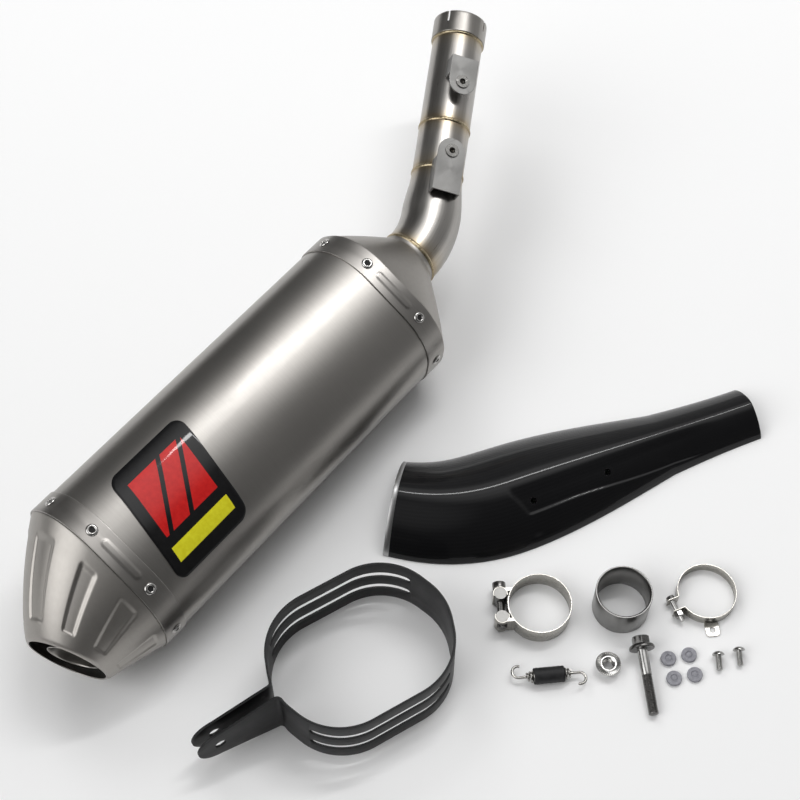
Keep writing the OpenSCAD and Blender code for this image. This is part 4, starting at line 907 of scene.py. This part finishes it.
def strap():
    """One sheet from ear tip to ear tip: ear, tight bend, ring with long slots, bend, ear."""
    y0, bend = EAR_GAP / 2 + STRAP_T / 2, 4.2
    ring = section(STRAP_ROOM + STRAP_T / 2, arc=24, flat=20)
    half = [p for p in ring if p[1] >= 0 and not (p[0] < -50 and p[1] < y0 + bend + 1.2)]
    half = sorted(half, key=lambda p: math.atan2(p[1], p[0]))
    # the upper half runs from the far +X end round to the ear
    side_x = half[-1][0]
    fillet = [(side_x - 0.3 - bend * (1 - cosd(b)), y0 + bend * (1 - sind(b))) for b in np.linspace(8, 90, 9)]
    ear = [(x, y0) for x in np.linspace(side_x - 0.3 - bend - 3, -EAR_REACH, 24)]
    tip = [(-EAR_REACH - EAR_R * sind(b), y0) for b in np.linspace(8, 90, 14)]
    upper = np.array(half + fillet + ear + tip)
    lower = upper[::-1] * (1, -1)
    # near-equal points fall together, and long steps are split where the slots could end
    path = [lower[0]]
    for p in [*lower[1:], *upper]:
        if np.linalg.norm(p - path[-1]) > 0.05:
            path.append(p)
    dense = path[:1]
    for start, p in zip(path, path[1:]):
        n = max(1, math.ceil(np.linalg.norm(p - start)))
        dense += [start + (p - start) * k / n for k in range(1, n + 1)]
    s_len = run_length(dense)
    zc, r = STRAP_W / 2, SLOT_W / 2
    ear_start = side_x - bend
    rows = [[] for _ in range(6)]
    for (x, y), l in zip(dense, s_len - s_len[-1] / 2):
        if x > ear_start:
            h = zc
        elif x > -EAR_REACH:
            h = zc - (zc - EAR_R) * (ear_start - x) / (EAR_REACH + ear_start)
        else:
            h = math.sqrt(max(0.0, EAR_R ** 2 - (x + EAR_REACH) ** 2))
        past = max(0.0, min(abs(l - c) - (half_l - r) for c, half_l in STRAP_SLOTS))
        gap = math.sqrt(max(0.0, r * r - past * past))
        zs = [zc - h]
        for f in (0.32, 0.68):
            zm = zc - h + 2 * h * f
            zs += [zm - gap, zm + gap]
        for row, z in zip(rows, zs + [zc + h]):
            row.append((x, y, z))
    m = on_table(STRAP, STRAP_DIR)
    cuts = [drill(m @ move(-EAR_REACH, 0, zc) @ turn("x", 90), BOLT_R + 0.4, 60)]
    s = Shape().grid([place(m, q) for q in rows], us=np.append(s_len, 0), vs=[0, 14, 22, 34, 42, 56, 0],
                     keep=lambda j, i: j not in (1, 3))
    s.make("mount_strap", strap_mat, "mounting_strap", "strap", "black_steel", sharp=45, solid=STRAP_T, bevel=0.4,
           cuts=cuts)


# Spring


def spring():
    m = move(SPRING[0], SPRING[1], RUBBER_R) @ turn("z", SPRING_DIR)
    end_r = WIRE_R + 1.7
    pts = []
    for k in range(TURNS * 40 + 1):
        u = k / (TURNS * 40)
        a = 360 * TURNS * u
        r = end_r + (COIL_R - end_r) * float(ease(u / 0.13) * ease((1 - u) / 0.13))
        pts.append((COIL_L * (u - 0.5), r * cosd(a), r * sind(a)))
    Shape().tube(place(m, pts), WIRE_R, 12).make("spring_wire", wire_mat, "spring", "spring_coil", "zinc", sharp=60)
    half = RUBBER_L / 2
    prof = [(5.2, -half + 0.25), (5.75, -half), (6.15, -half + 0.3)]
    prof += [(RUBBER_R - 0.05 + 0.05 * math.sin(z * 1.9), z) for z in np.linspace(-half + 0.9, half - 0.9, 46)]
    prof += [(6.15, half - 0.3), (5.75, half), (5.2, half - 0.25)]
    s = Shape().lathe(m @ turn("y", 90), prof, 56, closed=True)
    s.make("spring_sleeve", rubber_mat, "spring", "spring_rubber", "rubber", sharp=60)
    head, stem = COIL_L * 0.37, COIL_L / 2 + 6
    button = [(0.6, -0.7), (2.3, -0.7), (2.7, -0.3), (2.7, 0.3), (2.3, 0.7), (0.6, 0.7)]
    for side, name in ((0, "right"), (180, "left")):
        f = m @ turn("z", side)
        path = [(head, 0, 0), (head + 3, 0, 0), (stem - 5, 0, 0), (stem - 2, 0, 0)]
        path += [(stem + HOOK_BEND * cosd(a), HOOK_BEND * (sind(a) - 1), 0) for a in np.linspace(90, -110, 34)]
        s = Shape().tube(place(f, path), HOOK_R + 0.2, 18)
        s.lathe(f @ move(head, 0, 0) @ turn("y", 90), button, 28)
        s.make("hook_" + name + "_wire", wire_mat, "hook_" + name, "spring_hook_" + name, "zinc", sharp=50)


# Fasteners


def thread_wave(z, pitch, seg):
    """Distance from the root of a single-start thread, 0 to 1, round a ring at z."""
    return np.abs((z / pitch - np.arange(seg) / seg) % 1.0 * 2 - 1)


def thread_rows(m, r, z0, z1, pitch, depth, seg, per):
    """A thread as a grid of rings, faded over a turn at both ends."""
    rows = []
    for z in np.arange(z0, z1 + 1e-6, pitch / per):
        k = min(1.0, (z - z0) / pitch, (z1 - z) / pitch)
        rows.append(circle(m, r - depth * k * ease(thread_wave(z, pitch, seg) * 1.15 - 0.07), z, seg))
    return rows


def hex_rows(m, r, z0, z1, chamfer, seg):
    """A hexagon prism with chamfered corners, as rings from z0 to z1."""
    flat = r * cosd(30) / np.cos(np.radians(360 * np.arange(seg) / seg % 60 - 30))
    rings = ((cosd(30) + 0.005, z0), (1.0, z0 + chamfer), (1.0, z1))
    return [circle(m, np.minimum(flat, scale * r), z, seg) for scale, z in rings]


def nut():
    m = on_table(NUT, 12)
    h, seg, teeth = 8.4, 288, 36
    saw = 1 - np.arange(seg) * teeth / seg % 1.0
    rows = hex_rows(m, BOLT_R * 1.85, 0.0, 5.6, 0.6, seg)
    # radius, height and depth of the serration
    for r, z, tooth in ((FLANGE_R * 0.8, 5.3, 0), (FLANGE_R * 0.97, 6.3, 0), (FLANGE_R, 6.7, 0), (FLANGE_R, 7.5, 0),
                        (FLANGE_R * 0.985, 7.85, 0.1), (FLANGE_R * 0.93, h - 0.1, 0.9), (7.4, h - 0.05, 0.8),
                        (6.2, h, 0.15), (5.8, h, 0), (5.3, h, 0), (5.0, h - 0.1, 0), (4.2, h - 0.9, 0)):
        rows.append(circle(m, r, z - tooth * saw, seg))
    rows += [circle(m, 4.12 + 0.42 * thread_wave(z, 1.25, seg), z, seg) for z in np.arange(h - 1.0, 0.5, -0.125)]
    rows.append(circle(m, 4.9, 0.0, seg))
    Shape().grid(rows, wrap=True, loop=True).make("serrated_nut", nut_mat, "nut", "flange_nut", "zinc", sharp=32)


def bolt():
    tilt = math.degrees(math.atan((FLANGE_R - BOLT_R + 0.12) / (BOLT_L - 1.25)))
    height = FLANGE_R * cosd(tilt) + 2 * sind(tilt)
    m = move(BOLT[0], BOLT[1], height) @ turn("z", BOLT_DIR) @ turn("y", 90 + tilt)
    seg = 96
    socket = [(0.01, -6.2), (2.6, -6.2), (3.2, -6.6), (3.6, -7.8), (3.9, -8.0)]
    flange = [(FLANGE_R * 0.8, -1.7), (FLANGE_R * 0.95, -0.6), (FLANGE_R - 0.05, 0.2), (FLANGE_R, 0.6), (FLANGE_R, 1.5),
              (FLANGE_R - 0.35, 1.95), (5.5, 1.9), (4.4, 1.95), (4.05, 2.3)]
    rows = [circle(m, r, z, seg) for r, z in socket] + hex_rows(m, BOLT_R * 1.75, -8.0, -1.6, 0.7, seg)
    rows += [circle(m, r, z, seg) for r, z in flange]
    Shape().grid(rows, wrap=True).make("bolt_head", dark_steel, "bolt", "flange_bolt", "bolt_steel", sharp=34)
    prof = [(4.05, 1.8), (BOLT_R, 2.4), (BOLT_R, 6), (BOLT_R, 12), (BOLT_R, BOLT_PLAIN + 1),
            (BOLT_R - 0.15, BOLT_PLAIN + 2)]
    Shape().lathe(m, prof, 64).make("bolt_shank", zinc_mat, "bolt", (), "zinc", sharp=34)
    rows = thread_rows(m, BOLT_R - 0.08, BOLT_PLAIN + 1.6, BOLT_L + 0.9, 1.25, 0.62, 48, 12)
    rows.append(circle(m, 3.2, BOLT_L + 1.6, 48))
    s = Shape().grid(rows, wrap=True).cap(rows[-1])
    s.make("bolt_thread", dark_steel, "bolt", (), "bolt_steel", sharp=60)


def washers():
    prof = [(0.0, 0.05), (2.75, 0.05), (WASHER_R - 0.5, 0.0), (WASHER_R, 0.4), (WASHER_R, 2.45),
            (WASHER_R - 0.12, 2.75), (WASHER_R - 0.5, 2.98), (4.9, 3.0), (4.6, 2.85), (3.6, 2.8),
            (3.4, 2.92), (3.0, 2.92), (2.75, 2.6), (2.5, 2.05), (2.25, 2.1), (1.9, 2.6),
            (1.3, 2.9), (0.6, 2.97), (0.0, 2.98)]

    def uneven(a, k):
        return 0.035 * math.sin(7 * a + k), 0.02 * math.sin(11 * a + 2 * k) * (k > 5)

    s, reach = Shape(), WASHERS_PITCH * 0.707
    for k in range(4):
        a = 5 + 90 * k
        s.lathe(on_table((WASHERS[0] + reach * cosd(a), WASHERS[1] + reach * sind(a)), 31 * k), prof, 60, wave=uneven)
    s.make("damper_discs", felt_mat, "washers", "damping_washers", "washer", sharp=50)


def screws():
    r = SCREW_R + 2.3
    tilt = math.degrees(math.atan((r - SCREW_R) / (SCREW_L - 0.3)))
    lie = move(0, 0, r * cosd(tilt) + 0.3 * sind(tilt)) @ turn("y", 90 + tilt)
    prof = [(SCREW_R, 0.5), (SCREW_R + 0.3, 0.32), (r - 0.3, 0.3), (r, 0.12), (r * 0.985, -0.35), (r * 0.9, -1.15),
            (r * 0.72, -1.9), (r * 0.5, -2.4), (2.1, -2.56), (1.9, -2.5), (1.8, -1.2), (0.0, -0.9)]
    s = Shape()
    for k in range(2):
        m = on_table([p + step * k for p, step in zip(SCREWS, SCREWS_STEP)], SCREWS_DIR) @ lie
        s.lathe(m, prof, 56)
        rows = thread_rows(m, SCREW_R, 0.4, SCREW_L - 0.5, 0.8, 0.38, 36, 10)
        rows.append(circle(m, 1.9, SCREW_L - 0.02, 36))
        s.grid(rows, wrap=True).cap(rows[-1])
    s.make("button_screws", zinc_mat, "screws", "shield_screws", "zinc", sharp=50)


sleeve()
outlet_cap()
tail_tube()
inlet_cap()
band(0.0, "outlet_end_band", "outlet_band")
band(RIVET_SPAN, "inlet_end_band", "inlet_band")
rivets(0.0, "outlet_rivet_set", "outlet_rivets")
rivets(RIVET_SPAN, "inlet_rivet_set", "inlet_rivets")
badge()
pipe()
weld(M_NECK, NECK_R, "neck_bead", "cap_weld")
weld(at_pipe(TAIL), PIPE_R, "lower_bead", "lower_weld")
weld(at_pipe(TAIL + MIDDLE), PIPE_R, "middle_bead", "middle_weld")
weld(at_pipe(TAIL + MIDDLE + UPPER - COLLAR_LAP - 0.6), PIPE_R, "collar_bead", "collar_weld", 1.1, 1.5)
collar()
heat_shield()
strap()
spring()
nut()
bolt()
washers()
screws()

# CAD nodes that stay in view keep their shape and get a finish, most with softly rounded edges (width in mm)
FINISHES = (
    (inner_mat, 0, ("outlet_baffle", "core_tube")),
    (wool_mat, 0, ("packing",)),
    (bracket_mat, 0.35, ("lower_bracket", "upper_bracket")),
    (insert_mat, 0.3, ("lower_insert", "upper_insert")),
    (pin_mat, 0.3, ("strap_pin",)),
    (clamp_mat, 0.2, ("clamp_band", "tab_clamp_band")),
    (clamp_mat, 0, ("clamp_bridge",)),
    (barrel_mat, 0.5, ("clamp_barrel_plain", "clamp_barrel_threaded")),
    (dark_steel, 0.4, ("clamp_bolt",)),
    (sleeve_grey, 0.4, ("reducer_sleeve",)),
    (zinc_mat, 0.25, ("tab_clamp_screw",)),
    (zinc_mat, 0.35, ("tab_clamp_nut",)),
)
for mat, edge, names in FINISHES:
    for name in names:
        nodes[name].data.materials.clear()
        nodes[name].data.materials.append(mat)
        if edge:
            nodes[name].modifiers.new("weld", "WELD").merge_threshold = 2e-6
            soften(nodes[name], edge)

# Stage: pale floor that keeps the shadow

FLOOR_HALF, FLOOR_Z = 6, -0.0004
floor_mesh = bpy.data.meshes.new("floor")
floor_mesh.from_pydata([(x * FLOOR_HALF, y * FLOOR_HALF, FLOOR_Z) for x, y in ((-1, -1), (1, -1), (1, 1), (-1, 1))], [],
                       [(0, 1, 2, 3)])
floor = add("floor", floor_mesh)
floor_mat = bpy.data.materials.new("floor_pale")
floor_mat.use_nodes = True
floor_mat.node_tree.nodes.clear()
floor_nodes = Nodes(floor_mat.node_tree)
pale = floor_nodes.node("ShaderNodeBsdfDiffuse", Color=(0.93, 0.93, 0.93))
floor_nodes.node("ShaderNodeOutputMaterial", Surface=pale.outputs[0])
floor_mesh.materials.append(floor_mat)

# World: a dim room with soft boxes overhead and to the front left, and a paler wall behind

ROOM_LEVEL = 0.08
SOFT_BOXES = (  # direction, full and faded out at these angles, brightness
    ((-0.04, 0.37, 0.93), 8, 33, 1.3),
    ((-0.36, -0.68, 0.64), 10, 33, 2.7),
    ((0.15, -0.45, 0.88), 4, 26, 0.4),
    ((0.1, 0.95, 0.25), 15, 75, 0.35),
)
world = bpy.data.worlds.new("studio")
scene.world = world
world.use_nodes = True
sky = Nodes(world.node_tree)
way_out = sky.node("ShaderNodeTexCoord").outputs["Generated"]
level = ROOM_LEVEL
for way, inner, outer, strength in SOFT_BOXES:
    dot = sky.node("ShaderNodeVectorMath", {"operation": "DOT_PRODUCT"})
    sky.put(dot.inputs[0], way_out)
    sky.put(dot.inputs[1], Vector(way).normalized())
    box = sky.node("ShaderNodeMapRange", {"interpolation_type": "SMOOTHSTEP"}, Value=dot.outputs["Value"],
                   From_Min=cosd(outer), From_Max=cosd(inner), To_Min=0.0, To_Max=strength)
    level = sky.math("ADD", box.outputs["Result"], level)
sky.put(world.node_tree.nodes["Background"].inputs["Color"], level)


def aim_at(loc, aim):
    return (Vector(aim) - Vector(loc)).to_track_quat("-Z", "Y")


def soft_light(name, loc, aim, size, power, spin=0.0):
    """A soft lamp for the table, with its long side turned by spin."""
    data = bpy.data.lights.new(name, "AREA")
    data.shape, data.size, data.size_y, data.energy = "RECTANGLE", size[0], size[1], power
    lamp = add(name, data)
    lamp.location = loc
    lamp.rotation_euler = (aim_at(loc, aim) @ Quaternion((0, 0, 1), math.radians(spin))).to_euler()
    return lamp


soft_light("key", (-1.9, 0.5, 1.9), (-0.05, 0, 0), (1.1, 1.1), 13).visible_glossy = False
soft_light("strip", (-0.14, 0.9, 2.0), (-0.14, 0.899, 0), (1.2, 0.12), 10.5, 55.0)

cam_data = bpy.data.cameras.new("camera")
cam = add("camera", cam_data)
cam_data.sensor_width, cam_data.lens = 36.0, 72.0
cam.location = (0.36329, -0.509838, 1.1511)
cam.rotation_euler = aim_at(cam.location, (-0.085404, 0.034427, 0)).to_euler()
scene.camera = cam
scene.view_settings.view_transform = "Standard"
